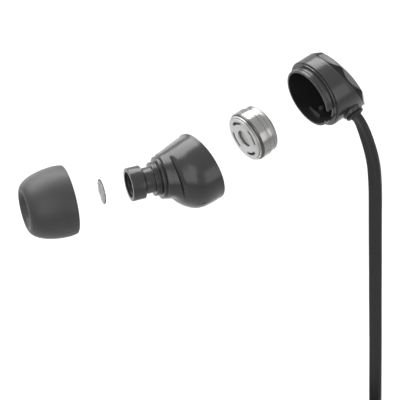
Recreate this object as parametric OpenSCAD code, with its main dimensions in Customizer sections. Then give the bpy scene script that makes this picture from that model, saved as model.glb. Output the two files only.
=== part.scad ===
// Wired in-ear earphones: the right earpiece is drawn apart along its two axes, the left one is whole.
// Millimetres, +Z up. The origin is the centre of the right nozzle's mouth, and that nozzle points -X.

/* [Ear tip] */
// Radius of the silicone skirt
tip_r = 6.1; // [5.2:0.1:7.5]
// Length of the tip from its opening to the skirt's edge
tip_len = 7.9; // [7.2:0.1:10]
// Radius of the round front opening
tip_open_r = 3.4; // [3:0.1:4]
// Thickness of the skirt
skirt_wall = 0.55; // [0.4:0.05:0.8]
// Wall of the core tube that grips the nozzle
core_wall = 0.75; // [0.5:0.05:1]
// Radius of the sound channel ahead of the nozzle
channel_r = 2.3; // [2:0.1:2.6]
// How far the tip stands ahead of the nozzle when it is seated
tip_ahead = 2.2; // [1.6:0.1:3]

/* [Nozzle] */
// Radius of the lip that holds the tip
lip_r = 2.9; // [2.7:0.05:3.2]
// Length of the lip
lip_len = 2.25; // [1.8:0.05:3]
// Radius of the neck behind the lip
neck_r = 2.27; // [2.2:0.01:2.5]
// Length of the neck
neck_len = 1.85; // [1.4:0.05:2.6]
// Radius of the collar that stops the tip
collar_r = 2.95; // [2.8:0.05:3.4]
// Length of that collar
collar_len = 1.05; // [0.6:0.05:1.6]
// Radius of the nozzle's root
root_r = 3.7; // [3.5:0.1:4.1]
// Radius where the root runs into the body
flare_r = 4.25; // [4.2:0.05:4.8]
// Radius of the sound bore
sound_bore_r = 1.8; // [1.4:0.1:1.9]
// Thickness of the ribs across the sound bore
mouth_rib = 0.35; // [0.2:0.05:0.6]

/* [Mesh] */
// Radius of the woven metal mesh
mesh_r = 2.2; // [2.05:0.05:2.25]
// Thickness of the mesh
mesh_t = 0.3; // [0.2:0.05:0.5]

/* [Body] */
// Distance from the mouth to the point where the nozzle and body axes meet
knee_x = 12.5; // [11:0.1:14]
// Turn of the body axis about the vertical
body_yaw = 18; // [0:1:25]
// Rise of the body axis towards the back
body_pitch = 7; // [0:1:15]
// Radius of both housings
body_r = 6.35; // [6.1:0.05:7.5]
// Radius of the front housing's dome
dome_r = 6.75; // [6.6:0.05:7.6]
// Height of the front housing's rim behind the knee
rim_z = 0.8; // [0.6:0.1:2]
// Wall of the rear housing
rear_wall = 1.25; // [1:0.05:1.5]
// Radius of the step beside the spigot
step_r = 6; // [5.8:0.05:6.05]
// Radius of the rear housing's spigot
spigot_r = 5.5; // [5.3:0.05:5.6]
// Length of the spigot
spigot_len = 1.65; // [1.2:0.05:2]
// Length of the rear housing on its axis
rear_len = 5.15; // [5.1:0.05:8]
// Slant of the back cap
cap_tilt = 22; // [0:1:24]
// Height of the domed back cap at its crown
cap_t = 2.1; // [1.9:0.1:2.6]
// Height of the cap at its edge
cap_edge = 0.85; // [0.6:0.05:1.1]
// How far the crown lies towards the cap's upper side
crown_off = 0.8; // [0:0.1:1.2]
// Number of flats round the cap
cap_flats = 7; // [6:1:10]
// Turn of the keyway from straight down
key_turn = 80; // [0:5:90]
// Running gap of pieces that slide into each other
slide_gap = 0.05; // [0.03:0.01:0.08]
// Gap between pieces that are seated on each other
seat_gap = 0.03; // [0.02:0.01:0.05]

/* [Driver] */
// Outer radius of the driver's frame
driver_r = 4.55; // [4.4:0.05:4.6]
// Radius of the driver's front plate
plate_r = 3.95; // [3.85:0.05:4]
// Thickness of the front plate
plate_t = 0.35; // [0.25:0.05:0.45]
// Radius of the hole in the front plate
plate_hole_r = 1.6; // [1.2:0.1:1.8]
// Number of slots in the front plate
plate_slots = 4; // [3:1:6]
// Radius of the circle that the slots lie on
slot_ring_r = 3.05; // [2.8:0.05:3.2]
// Width of the slots
slot_w = 0.55; // [0.4:0.05:0.7]
// Length of the driver's frame
frame_len = 2.15; // [2.1:0.05:2.6]
// Radius of the rear can
can_r = 4.3; // [4.1:0.05:4.4]
// Length of the rear can
can_len = 1.7; // [1.6:0.05:2.2]
// Radius of the magnet
magnet_r = 1.7; // [1.4:0.05:1.75]
// Length of the magnet
magnet_len = 1.15; // [1:0.05:1.3]
// Mean radius of the voice coil
coil_r = 2; // [1.95:0.05:2.05]
// Thickness of the voice coil
coil_t = 0.2; // [0.1:0.05:0.25]

/* [Cable outlet] */
// Turn of the outlet from straight down
outlet_turn = 60; // [0:5:90]
// Distance of the outlet behind the rear housing's shoulder
outlet_back = 3.9; // [3:0.1:4]
// Radius of the boss on the housing
boss_r = 1.95; // [1.9:0.05:2.1]
// How far the boss stands out of the housing
boss_out = 0.4; // [0.3:0.05:1]
// Radius of the bushing's collar
bush_r = 1.75; // [1.7:0.05:1.85]
// Length of the bushing's collar
bush_len = 0.8; // [0.7:0.05:1.4]

/* [Distances apart] */
// How far the ear tip is pulled off
tip_apart = 16.25; // [14:0.25:20]
// How far the mesh is lifted out
mesh_apart = 5; // [3:0.1:7]
// How far the driver is drawn out
driver_apart = 12.8; // [11:0.1:16]
// How far the rear housing is drawn back
rear_apart = 25.6; // [22:0.1:32]

/* [Cord] */
// Width of the flat cord
cord_w = 2.4; // [1.8:0.1:2.4]
// Thickness of the flat cord
cord_t = 1.1; // [0.9:0.05:1.1]
// Drop from the nozzle's axis to the middle of the hank
hank_drop = 107.7; // [106:0.1:130]
// Length of the left and main leads below the hank
tail_len = 16.3; // [12:0.1:60]
// Length of the hank's runs
run_len = 38; // [34:1:40]
// Step between turns of the hank
turn_step = 1.65; // [1.6:0.05:1.8]
// Step between layers of the hank
layer_step = 2.9; // [2.85:0.05:3.1]
// How far the hank is drawn in at its waist
waist_in = 1.5; // [0.5:0.1:1.5]
// Width of the tie
tie_w = 6; // [4:0.5:8]
// Thickness of the tie
tie_t = 0.7; // [0.5:0.1:1]

/* [Splitter] */
// Length of the splitter
split_len = 12; // [10:0.5:12]
// Thickness of the splitter
split_t = 3.6; // [3:0.1:3.6]

/* [Plug] */
// Radius of the jack's sleeve
jack_r = 1.75; // [1.25:0.25:1.75]
// Length of the jack
jack_len = 14; // [13:0.5:15]
// Radius of the grip
grip_r = 3.1; // [2.8:0.1:4]
// Length of the grip
grip_len = 14; // [12:1:20]
// Length of the plug's strain relief
relief_len = 9; // [7:0.5:12]

/* [Hidden] */
$fn = 96;
SIDES = ["right", "left"];
EAR_NODES = ["ear_tip", "mesh", "front_housing", "gasket", "front_plate", "trim_ring", "driver_frame",
    "rear_can", "diaphragm", "voice_coil", "magnet", "top_plate", "yoke", "damping_cloth",
    "terminal_board", "rear_housing", "back_cap", "bushing", "cord_anchor"];

// nozzle stations, measured back from the mouth
lip_chamfer = 0.35;
neck_x = lip_len + lip_chamfer;
collar_x = lip_len + neck_len;
root_x = collar_x + collar_len;
flare_x = knee_x - 4.2;
mesh_seat = mesh_t + 0.2;
core_len = tip_ahead + collar_x - slide_gap;
core_bore_r = lip_r + slide_gap;
core_r = core_bore_r + core_wall;
dome_len = tip_len - 1.3;
skirt_turn = 0.2;

// body stations, measured back from the knee
seat_z = -2.9;
chamber_z = -4.1;
chamber_r = 3.3;
gasket_t = 0.3;
cavity_r = driver_r + 0.1;
shoulder_z = rim_z + slide_gap;
step_len = 0.35;
rear_bore_r = body_r - rear_wall;
outlet_z = shoulder_z + outlet_back;
cap_z = shoulder_z + rear_len;
cap_lip = 1;
// the crown's sphere drops from cap_t to cap_edge at the housing's radius
crown_drop = cap_t - cap_edge;
crown_r = (body_r * body_r + crown_drop * crown_drop) / (2 * crown_drop);
// slope of the cap's flats, the turn of the first one, and the rim left under them
flat_tilt = 48;
flat_turn = 5;
flat_low = 0.15;
key_w = 2.8;
boss_top = body_r + boss_out;
bush_top = boss_top + bush_len;
bush_stem_r = boss_r - 0.5;

// driver stations, measured back from its face
driver_z = seat_z + gasket_t + slide_gap;
frame_z = 0.45;
web_t = 0.4;
web_z = frame_z + frame_len - web_t;
can_z = frame_z + frame_len;
can_wall = 0.25;
top_plate_t = 0.45;
top_plate_r = magnet_r + 0.05;
pole_z = 1.55;
magnet_z = pole_z + top_plate_t + seat_gap;
yoke_base_z = magnet_z + magnet_len + seat_gap;
yoke_in_r = coil_r + coil_t / 2 + 0.15;
yoke_r = yoke_in_r + 0.35;
yoke_base_t = 0.3;
dome_edge_r = driver_r - 0.65;
membrane_z = 0.85;
membrane_t = 0.12;
coil_len = 1.15;
board_t = 0.3;

// hank: centre, half widths of its runs, and layers
hank_c = [36.9, -3.25, -hank_drop];
outer_half = 12.1;
half_step = turn_step / 2;
inner_x = 4;
inner_half = outer_half - 4 * half_step;
main_half = outer_half - 5 * half_step;
layer_y = [for (k = [0:4]) -k * layer_step];
run_pieces = 6;
turn_pieces = 6;
split_top = run_len / 2 - 3;
split_y = (layer_y[0] + layer_y[1]) / 2;
split_w = layer_step + cord_w + 0.7;

// where the three leads meet the hank, where the left earpiece hangs, and the plug's top
hank_in = hank_c + [outer_half, layer_y[0], run_len / 2];
left_out = hank_c + [-outer_half, layer_y[1], -run_len / 2];
main_out = hank_c + [inner_half, layer_y[4], -run_len / 2];
left_outlet = left_out - [0, 0, tail_len];
plug_top = main_out - [0, 0, tail_len];

// route of the right lead from its bushing to the hank: point, then the turn of its width about the vertical
across = -90;
right_route = [
    [[43.61, 3.23, -0.05], -72],
    [[43.8, 2.75, -0.35], -71],
    [[44.1, 2.05, -1.15], -68],
    [[44.5, 1.05, -2.75], -62],
    [[45, -0.25, -5.35], -56],
    [[45.4, -1.15, -8.2], -49],
    [[45.6, -1.7, -11.35], -44],
    [[45.75, -2.05, -14.7], -38],
    [[46, -2.15, -19.5], -34],
    [[46.35, -2.25, -25.7], -31],
    [[46.7, -2.4, -32], -29],
    [[47.05, -2.5, -38.3], -28],
    [[47.4, -2.65, -44.7], -27],
    [[47.75, -2.8, -51], -27],
    [[48.1, -2.9, -57.3], -28],
    [[48.4, -3, -63], -32],
    [[48.7, -3.1, -68.7], -42],
    [[48.9, -3.2, -75], -60],
    [[49, -3.25, -80.5], -80],
    [hank_in + [0, 0, 3.7], across],
    [hank_in, across]];

// ---- frames ----

// puts a shape whose axis is Z onto the nozzle axis, running back from the mouth
module on_nozzle(back = 0) {
    translate([back, 0, 0]) rotate([0, 90, 0]) children();
}

// puts a shape whose axis is Z onto the body axis, running back from the knee
module on_body(back = 0) {
    translate([knee_x, 0, 0]) rotate([0, 90 - body_pitch, body_yaw]) translate([0, 0, back]) children();
}

// from the right earpiece's assembled place to the body axis, and to the left earpiece's place
module to_left() {
    translate(left_outlet - [outlet_z, 0, bush_top]) rotate([0, -90, 180]) rotate([0, 0, -outlet_turn])
        mirror([0, 1, 0]) rotate([0, body_pitch - 90, 0]) rotate([0, 0, -body_yaw])
            translate([-knee_x, 0, 0]) children();
}

// places a piece of an earpiece: on the right drawn apart, on the left assembled
module place(side, along_nozzle = 0, along_body = 0) {
    if (side == "left") {
        to_left() children();
    } else {
        translate([-along_nozzle, 0, 0]) body_shift(along_body) children();
    }
}

module body_shift(back) {
    rotate([0, -body_pitch, body_yaw]) translate([back, 0, 0]) rotate([0, body_pitch, 0])
        rotate([0, 0, -body_yaw]) children();
}

// puts a shape whose axis is Z onto the outlet's axis, running out from the body axis
module on_outlet() {
    on_body(outlet_z) rotate([0, 0, -outlet_turn]) rotate([0, 90, 0]) children();
}

// puts a shape onto the slanted plane of the back cap
module on_cap_plane(back = 0) {
    on_body(cap_z) rotate([0, -cap_tilt, 0]) translate([0, 0, back]) children();
}

module ring(outer, inner, len) {
    difference() {
        cylinder(r = outer, h = len);
        translate([0, 0, -1]) cylinder(r = inner, h = len + 2);
    }
}

// ---- ear tip and mesh ----

module ear_tip(side) {
    arc = [for (k = [0:10]) k * 9];
    in_z = tip_ahead - 0.3;
    color("dimgray") place(side, tip_apart) on_nozzle(-tip_ahead) rotate_extrude()
        polygon(concat(
            [[channel_r, 1.2], [tip_open_r - 0.2, 0.2]],
            [for (a = arc) [tip_open_r + (tip_r - tip_open_r) * sin(a), dome_len * (1 - cos(a))]],
            [[tip_r - skirt_turn, tip_len], [tip_r - skirt_turn - skirt_wall, tip_len]],
            [for (k = [10:-1:0]) [core_r + (tip_r - skirt_wall - core_r) * sin(arc[k]),
                in_z + (dome_len - in_z) * (1 - cos(arc[k]))]],
            [[core_r, core_len], [core_bore_r, core_len], [core_bore_r, tip_ahead - 0.1],
                [channel_r, tip_ahead - 0.1]]));
}

module mesh(side) {
    color("gainsboro") place(side, mesh_apart) on_nozzle(slide_gap) cylinder(r = mesh_r, h = mesh_t);
}

// ---- front housing ----

module front_housing(side) {
    color([0.16, 0.16, 0.17]) place(side) difference() {
        union() {
            on_nozzle() cylinder(r = lip_r, h = lip_len);
            on_nozzle(lip_len) cylinder(r1 = lip_r, r2 = neck_r, h = lip_chamfer);
            on_nozzle() cylinder(r = neck_r, h = root_x);
            on_nozzle(collar_x) cylinder(r = collar_r, h = collar_len);
            on_nozzle(root_x) cylinder(r1 = root_r, r2 = flare_r, h = flare_x - root_x);
            on_body() intersection() {
                sphere(r = dome_r);
                translate([0, 0, -dome_r]) cylinder(r = body_r, h = dome_r + rim_z);
            }
        }
        front_hollow();
    }
    color([0.16, 0.16, 0.17]) place(side) mouth_ribs();
}

module front_hollow() {
    on_nozzle(-1) cylinder(r = mesh_r + slide_gap, h = 1 + mesh_seat);
    on_nozzle() cylinder(r = sound_bore_r, h = knee_x - 2);
    on_body(chamber_z) cylinder(r = chamber_r, h = 3);
    on_body(seat_z) cylinder(r = cavity_r, h = 5);
    on_body(shoulder_z - spigot_len - 0.15) cylinder(r = spigot_r + slide_gap, h = 4);
    on_body(shoulder_z - step_len - 0.1) cylinder(r = step_r + slide_gap, h = 4);
}

// the cross of ribs behind the mesh
module mouth_ribs() {
    for (turn = [0, 90]) {
        on_nozzle(mesh_seat + 0.1) rotate([0, 0, turn + 20])
            translate([-sound_bore_r - 0.2, -mouth_rib / 2, 0]) cube([2 * sound_bore_r + 0.4, mouth_rib, 0.7]);
    }
}

module gasket(side) {
    color("darkslategray") place(side) on_body(seat_z + seat_gap / 2)
        ring(cavity_r - 0.1, chamber_r + 0.1, gasket_t - seat_gap / 2);
}

// ---- driver ----

module on_driver(side, back) {
    place(side, 0, driver_apart) on_body(driver_z + back) children();
}

module front_plate(side) {
    span = 48;
    color("silver") on_driver(side, 0) difference() {
        cylinder(r = plate_r, h = plate_t);
        translate([0, 0, -1]) cylinder(r = plate_hole_r, h = 3);
        for (k = [0:plate_slots - 1]) {
            rotate([0, 0, k * 360 / plate_slots + 52.5 - span / 2]) translate([0, 0, -1])
                rotate_extrude(angle = span) translate([slot_ring_r - slot_w / 2, 0]) square([slot_w, 3]);
        }
    }
}

module trim_ring(side) {
    color("gray") on_driver(side, 0.1) ring(driver_r - 0.3, plate_r + seat_gap, frame_z - 0.1 - seat_gap);
}

module driver_frame(side) {
    color("silver") on_driver(side, frame_z) difference() {
        cylinder(r = driver_r, h = frame_len);
        translate([0, 0, -1]) cylinder(r = driver_r - 0.45, h = 1 + frame_len - web_t);
        translate([0, 0, -1]) cylinder(r = yoke_r + seat_gap, h = frame_len + 2);
        for (k = [0:5]) {
            rotate([0, 0, k * 60]) translate([(yoke_r + driver_r - 0.45) / 2, 0, -1]) cylinder(r = 0.3, h = 5);
        }
    }
}

module rear_can(side) {
    color("lightgray") on_driver(side, can_z + seat_gap) difference() {
        union() {
            cylinder(r = can_r, h = can_len - 0.35);
            translate([0, 0, can_len - 0.35]) cylinder(r1 = can_r, r2 = can_r - 0.35, h = 0.35);
        }
        translate([0, 0, -1]) cylinder(r = can_r - can_wall, h = 1 + can_len - can_wall);
        for (k = [0:2]) {
            rotate([0, 0, k * 120]) translate([can_r * 0.6, 0, 0]) cylinder(r = 0.35, h = 5);
        }
    }
}

module diaphragm(side) {
    color("tan") on_driver(side, membrane_z) rotate_extrude() polygon([
        [0, -0.3], [0.7, -0.26], [1.3, -0.14], [coil_r, 0], [coil_r + 0.5, 0], [(coil_r + dome_edge_r) / 2, -0.2],
        [dome_edge_r - 0.3, 0], [dome_edge_r, 0], [dome_edge_r, membrane_t], [dome_edge_r - 0.3, membrane_t],
        [(coil_r + dome_edge_r) / 2, membrane_t - 0.2], [coil_r + 0.5, membrane_t], [coil_r, membrane_t],
        [1.3, membrane_t - 0.14], [0.7, membrane_t - 0.26], [0, membrane_t - 0.3]]);
}

module voice_coil(side) {
    color("darkgoldenrod") on_driver(side, membrane_z + membrane_t)
        ring(coil_r + coil_t / 2, coil_r - coil_t / 2, coil_len);
}

module magnet(side) {
    color("dimgray") on_driver(side, magnet_z) cylinder(r = magnet_r, h = magnet_len);
}

module top_plate(side) {
    color("slategray") on_driver(side, pole_z) cylinder(r = top_plate_r, h = top_plate_t);
}

module yoke(side) {
    color("slategray") on_driver(side, 0) union() {
        translate([0, 0, pole_z]) ring(yoke_r, yoke_in_r, yoke_base_z - pole_z);
        translate([0, 0, yoke_base_z]) cylinder(r = yoke_r, h = yoke_base_t);
    }
}

module damping_cloth(side) {
    color("white") on_driver(side, can_z + seat_gap)
        ring(can_r - can_wall - 0.05, yoke_r + 0.1, 0.12);
}

module terminal_board(side) {
    board_z = can_z + can_len + 2 * seat_gap;
    color("darkgreen") on_driver(side, board_z) intersection() {
        cylinder(r = can_r * 0.75, h = board_t);
        translate([-can_r, -can_r * 0.75, 0]) cube([can_r, can_r * 1.5, board_t]);
    }
    color("silver") on_driver(side, board_z + board_t) for (y = [-1, 1]) {
        translate([-can_r * 0.4, y, -0.05]) cylinder(r = 0.4, h = 0.2);
    }
}

// ---- rear housing ----

module rear_housing(side) {
    color([0.13, 0.13, 0.14]) place(side, 0, rear_apart) difference() {
        union() {
            on_body(shoulder_z - spigot_len) cylinder(r = spigot_r, h = spigot_len + 1);
            on_body(shoulder_z - step_len) cylinder(r = step_r, h = step_len + 1);
            on_body(shoulder_z) cylinder(r = body_r, h = rear_len + body_r);
            on_outlet() translate([0, 0, rear_bore_r + 0.1]) cylinder(r = boss_r, h = boss_top - rear_bore_r - 0.1);
        }
        on_body(shoulder_z - spigot_len - 1) cylinder(r = rear_bore_r, h = 3 * rear_len);
        on_cap_plane() translate([-20, -20, 0]) cube([40, 40, 20]);
        on_outlet() cylinder(r = bush_stem_r + seat_gap, h = 12);
        on_body(shoulder_z - spigot_len - 1) rotate([0, 0, -key_turn])
            translate([rear_bore_r - 1, -key_w / 2, 0]) cube([2, key_w, 1 + spigot_len - step_len - 0.1]);
    }
    color([0.13, 0.13, 0.14]) place(side, 0, rear_apart) inner_details();
}

// a locating pin and a rib that stand low on the bore's wall
module inner_details() {
    on_body(shoulder_z + 1.7) rotate([0, 0, 6]) translate([rear_bore_r - 0.6, 0, 0])
        rotate([0, 90, 0]) cylinder(r = 0.45, h = 1.1);
    on_body(shoulder_z) rotate([0, 0, 6]) translate([rear_bore_r - 0.5, -1.4, 0]) cube([0.9, 2.8, 0.3]);
}

// the domed cap, with flats cut round its edge down to just above the seam
module back_cap(side) {
    color([0.1, 0.1, 0.11]) place(side, 0, rear_apart) union() {
        difference() {
            intersection() {
                on_body(shoulder_z) cylinder(r = body_r, h = 40);
                on_cap_plane(seat_gap) cylinder(r = 2 * body_r, h = cap_t);
                on_cap_plane(cap_t - crown_r) translate([-crown_off, 0, 0]) sphere(r = crown_r);
            }
            for (k = [0:cap_flats - 1]) {
                turn = 180 + flat_turn + k * 360 / cap_flats;
                far = body_r / sqrt(1 - pow(sin(cap_tilt) * cos(turn), 2));
                on_cap_plane(flat_low) rotate([0, 0, turn]) translate([far, -8, 0])
                    rotate([0, flat_tilt - 90, 0]) cube([10, 16, 10]);
            }
        }
        difference() {
            on_body(shoulder_z + 1) cylinder(r = rear_bore_r - seat_gap, h = 40);
            on_body(shoulder_z) cylinder(r = rear_bore_r - 0.8, h = 60);
            on_cap_plane(seat_gap + 0.2) translate([-20, -20, 0]) cube([40, 40, 60]);
            on_cap_plane(-cap_lip) translate([-20, -20, -40]) cube([40, 40, 40]);
            on_outlet() cylinder(r = boss_r + 0.3, h = 12);
        }
    }
}

module bushing(side) {
    color([0.2, 0.2, 0.21]) place(side, 0, rear_apart) on_outlet() difference() {
        union() {
            translate([0, 0, rear_bore_r - 0.4]) cylinder(r = bush_stem_r, h = bush_top - rear_bore_r);
            translate([0, 0, boss_top + seat_gap]) cylinder(r = bush_r, h = bush_len - 0.3 - seat_gap);
            translate([0, 0, bush_top - 0.3]) cylinder(r1 = bush_r, r2 = bush_r - 0.3, h = 0.3);
        }
        translate([-cord_t / 2, -cord_w / 2, 0]) cube([cord_t, cord_w, 20]);
    }
}

// the end of the cord inside the bushing, and the block that keeps it from being pulled out
module cord_anchor(side) {
    color([0.3, 0.3, 0.31]) place(side, 0, rear_apart) on_outlet() union() {
        translate([-cord_t / 2 + seat_gap, -cord_w / 2 + seat_gap, rear_bore_r - 0.6])
            cube([cord_t - 2 * seat_gap, cord_w - 2 * seat_gap, bush_top - rear_bore_r + 0.6]);
        translate([-0.9, -1.4, rear_bore_r - 1.9]) cube([1.8, 2.8, 1.45]);
    }
}

// ---- cord ----

function unit(v) = v / norm(v);

function smooth(s) = s * s * (3 - 2 * s);

// one ring of a flat section: eight or six corners round p, with its width along u and thickness along v
function section(p, u, v, sides) = sides == 8
    ? [for (k = [0:7]) p + (u * cord_w * cos(k * 45 + 22.5) + v * cord_t * sin(k * 45 + 22.5)) / cos(22.5) / 2]
    : [for (k = [0:5]) p + u * cord_w * cos(k * 60) / 2 + v * cord_t * sin(k * 60) / sin(60) / 2];

// direction of a path at point i, square to its end faces
function heading(path, i) = i == 0 ? unit(path[1] - path[0])
    : i == len(path) - 1 ? unit(path[i] - path[i - 1])
    : unit(unit(path[i + 1] - path[i]) + unit(path[i] - path[i - 1]));

function rings(path, wide, sides) = [for (i = [0:len(path) - 1])
    let (t = heading(path, i), u = unit(wide[i] - (wide[i] * t) * t)) section(path[i], u, cross(t, u), sides)];

// a closed flat tube through rings of points, all of triangles
module tube(rings) {
    n = len(rings[0]);
    last = (len(rings) - 1) * n;
    polyhedron(points = [for (r = rings) each r], faces = concat(
        [for (k = [1:n - 2]) [0, k, k + 1]],
        [for (k = [1:n - 2]) [last, last + k + 1, last + k]],
        [for (i = [0:len(rings) - 2]) for (k = [0:n - 1])
            each [[i * n + k, (i + 1) * n + k, i * n + (k + 1) % n],
                [i * n + (k + 1) % n, (i + 1) * n + k, (i + 1) * n + (k + 1) % n]]]), convexity = 10);
}

// a free stretch along its route
module stretch(route) {
    tube(rings([for (q = route) q[0]], [for (q = route) [cos(q[1]), sin(q[1]), 0]], 8));
}

// half width of a run at height z, drawn in at the waist
function drawn_in(half, z) = half - waist_in * (0.5 + 0.5 * cos(360 * z / run_len));

// one run of the hank: side is 1 on the right and -1 on the left, down is 1 downwards and -1 upwards
function run(half, side, down, y0, y1, from = 0, pieces = run_pieces) = [for (k = [from:pieces])
    let (s = k / pieces, z = down * run_len * (0.5 - s))
        [side * drawn_in(half, z), y0 + (y1 - y0) * smooth(s), z]];

// one end turn of the hank from x = a to x = b, without its two ends; top is 1 above and -1 below
function turn(a, b, top, y) = [for (k = [1:turn_pieces - 1])
    let (t = 180 * k / turn_pieces)
        [(a + b) / 2 + (a - b) / 2 * cos(t), y, top * (run_len / 2 + abs(a - b) / 2 * sin(t))]];

// half width of run k of a lead that winds out from half width start, or in where step is negative
function half_at(start, k, step) = start + k * step;

// right lead: down the outer right run, and in to the splitter
right_wound = let (y = layer_y[0]) concat(
    [for (k = [0:3]) each let (side = k % 2 == 0 ? 1 : -1, half = half_at(outer_half, k, -half_step),
        next = k == 3 ? inner_x : side * -half_at(outer_half, k + 1, -half_step))
        concat(run(half, side, side, y, y), turn(side * half, next, -side, y))],
    [[inner_x, y, run_len / 2], [inner_x, y, split_top]]);

// left lead: up from the splitter and out to the outer left run
left_wound = let (y = layer_y[1]) concat(
    [[inner_x, y, split_top], [inner_x, y, run_len / 2]], turn(inner_x, -inner_half, 1, y),
    [for (k = [0:4]) each let (side = k % 2 == 0 ? -1 : 1, half = half_at(inner_half, k, half_step))
        concat(run(half, side, -side, y, y),
            k == 4 ? [] : turn(side * half, -side * half_at(inner_half, k + 1, half_step), side, y))]);

// main lead: from the splitter out in one layer, across along the outer run, in again, and out over the turns
main_wound = let (yc = layer_y[2], yd = layer_y[3], ye = layer_y[4], low = split_top - split_len) concat(
    [[inner_x, split_y, low], [inner_x, split_y, low - 2.5]],
    [for (s = [0.25, 0.5, 0.75]) [inner_x, split_y + (yc - split_y) * smooth(s), low - 2.5 - s * 12]],
    [[inner_x, yc, low - 14.5], [inner_x, yc, -run_len / 2]],
    turn(inner_x, -main_half, -1, yc),
    [for (k = [0:5]) each let (side = k % 2 == 0 ? -1 : 1, half = half_at(main_half, k, half_step),
        to = k == 5 ? -outer_half + half_step : -side * half_at(main_half, k + 1, half_step))
        concat(run(half, side, side, yc, k == 5 ? yd : yc), turn(side * half, to, -side, k == 5 ? yd : yc))],
    [for (k = [1:3]) each let (side = k % 2 == 0 ? 1 : -1, half = half_at(outer_half, k, -half_step))
        concat(run(half, side, side, yd, yd),
            turn(side * half, -side * half_at(outer_half, k + 1, -half_step), -side, yd))],
    [for (k = [0:9]) let (z = run_len * (0.5 - k / 9), s = min(1, max(0, (k - 6) / 2)))
        [drawn_in(inner_half, z), yd + (ye - yd) * smooth(s), z]]);

// least distance between corners of turns that lie apart along one winding
function least_gap(r) = min([for (i = [0:len(r) - 1]) for (j = [i + turn_pieces:len(r) - 1])
    if (norm(r[i][0] - r[j][0]) < 3 * cord_w) each [for (a = r[i]) for (b = r[j]) norm(a - b)]]);

// a winding of the hank; it prints its least gap to itself
module winding(path, name) {
    r = rings([for (p = path) hank_c + p], [for (p = path) [0, -1, 0]], 6);
    echo(str(name, " least gap to itself ", least_gap(r), " mm, length ", path_len(path), " mm"));
    tube(r);
}

function path_len(path) = len(path) < 2 ? 0
    : let (d = [for (i = [1:len(path) - 1]) norm(path[i] - path[i - 1])]) d * [for (x = d) 1];

module right_lead() {
    color("dimgray") stretch(right_route);
}

// a lead that hangs straight down from the hank
module tail(top) {
    stretch([for (k = [0:3]) [top - [0, 0, k * tail_len / 3], across]]);
}

module left_lead() {
    color("dimgray") tail(left_out);
}

module main_lead_end() {
    color("dimgray") tail(main_out);
}

module right_lead_wound() {
    color("dimgray") winding(right_wound, "right lead");
}

module left_lead_wound() {
    color("dimgray") winding(left_wound, "left lead");
}

module main_lead_wound() {
    color("dimgray") winding(main_wound, "main lead");
}

module rounded_bar(x, y, h, r) {
    linear_extrude(h) union() {
        translate([-x / 2 + r, -y / 2]) square([x - 2 * r, y]);
        translate([-x / 2, -y / 2 + r]) square([x, y - 2 * r]);
        for (sx = [-1, 1]) for (sy = [-1, 1]) translate([sx * (x / 2 - r), sy * (y / 2 - r)]) circle(r = r);
    }
}

// half of the splitter: out is 1 for the front shell and -1 for the back one
module splitter_shell(out) {
    translate(hank_c + [inner_x, split_y, split_top - split_len]) intersection() {
        rounded_bar(split_t, split_w, split_len, 1);
        translate([out > 0 ? seat_gap / 2 : -split_t, -split_w, 0])
            cube([split_t - seat_gap / 2, 2 * split_w, split_len]);
    }
}

module splitter_front() {
    color([0.2, 0.2, 0.21]) splitter_shell(1);
}

module splitter_back() {
    color([0.23, 0.23, 0.24]) splitter_shell(-1);
}

module hank_tie() {
    // half width and depth of the wound cord at the waist, with room round it
    half_x = outer_half - waist_in * (0.5 + 0.5 * cos(180 * tie_w / run_len)) + cord_t / 2 + 0.25;
    deep = layer_y[0] - layer_y[3] + cord_w + 0.5;
    color("black") translate(hank_c + [0, (layer_y[0] + layer_y[3]) / 2, -tie_w / 2]) difference() {
        rounded_bar(2 * (half_x + tie_t), deep + 2 * tie_t, tie_w, 1.5);
        translate([0, 0, -1]) rounded_bar(2 * half_x, deep, tie_w + 2, 0.8);
    }
}

// ---- plug ----

// puts a shape whose axis is Z below the plug's top, running down
module on_plug(down = 0) {
    translate(plug_top - [0, 0, down]) rotate([180, 0, 0]) children();
}

module plug_relief() {
    color([0.2, 0.2, 0.21]) on_plug() union() {
        cylinder(r = cord_w / 2 + 0.3, h = relief_len);
        for (k = [0:4]) {
            translate([0, 0, 0.6 + k * (relief_len - 1) / 5]) cylinder(r = cord_w / 2 + 0.8, h = 0.8);
        }
    }
}

module plug_grip() {
    color([0.13, 0.13, 0.14]) on_plug(relief_len) rotate_extrude() polygon(concat(
        [[0, 0], [grip_r - 0.9, 0]],
        [for (a = [0:15:90]) [grip_r - 0.8 + 0.8 * sin(a), 1.2 * (1 - cos(a))]],
        [[grip_r, grip_len - 1], [grip_r - 0.5, grip_len], [0, grip_len]]));
}

jack_z = relief_len + grip_len;
sleeve_len = jack_len - 6;
gap_t = 0.6;

module jack_sleeve() {
    color("gold") on_plug(jack_z) cylinder(r = jack_r, h = sleeve_len);
}

module jack_ring() {
    color("gold") on_plug(jack_z + sleeve_len + gap_t) cylinder(r = jack_r, h = 1.3);
}

module jack_tip() {
    color("gold") on_plug(jack_z + sleeve_len + 2 * gap_t + 1.3) rotate_extrude() polygon([
        [0, 0], [jack_r, 0], [jack_r, 0.5], [jack_r - 0.45, 1.3], [jack_r - 0.1, 2], [jack_r - 0.15, 2.3],
        [0.4, 3.4], [0, 3.5]]);
}

module jack_insulators() {
    color("black") union() {
        on_plug(jack_z + sleeve_len) cylinder(r = jack_r - 0.3, h = gap_t);
        on_plug(jack_z + sleeve_len + gap_t + 1.3) cylinder(r = jack_r - 0.3, h = gap_t);
    }
}

// ---- one piece of an earpiece by its name ----

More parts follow.
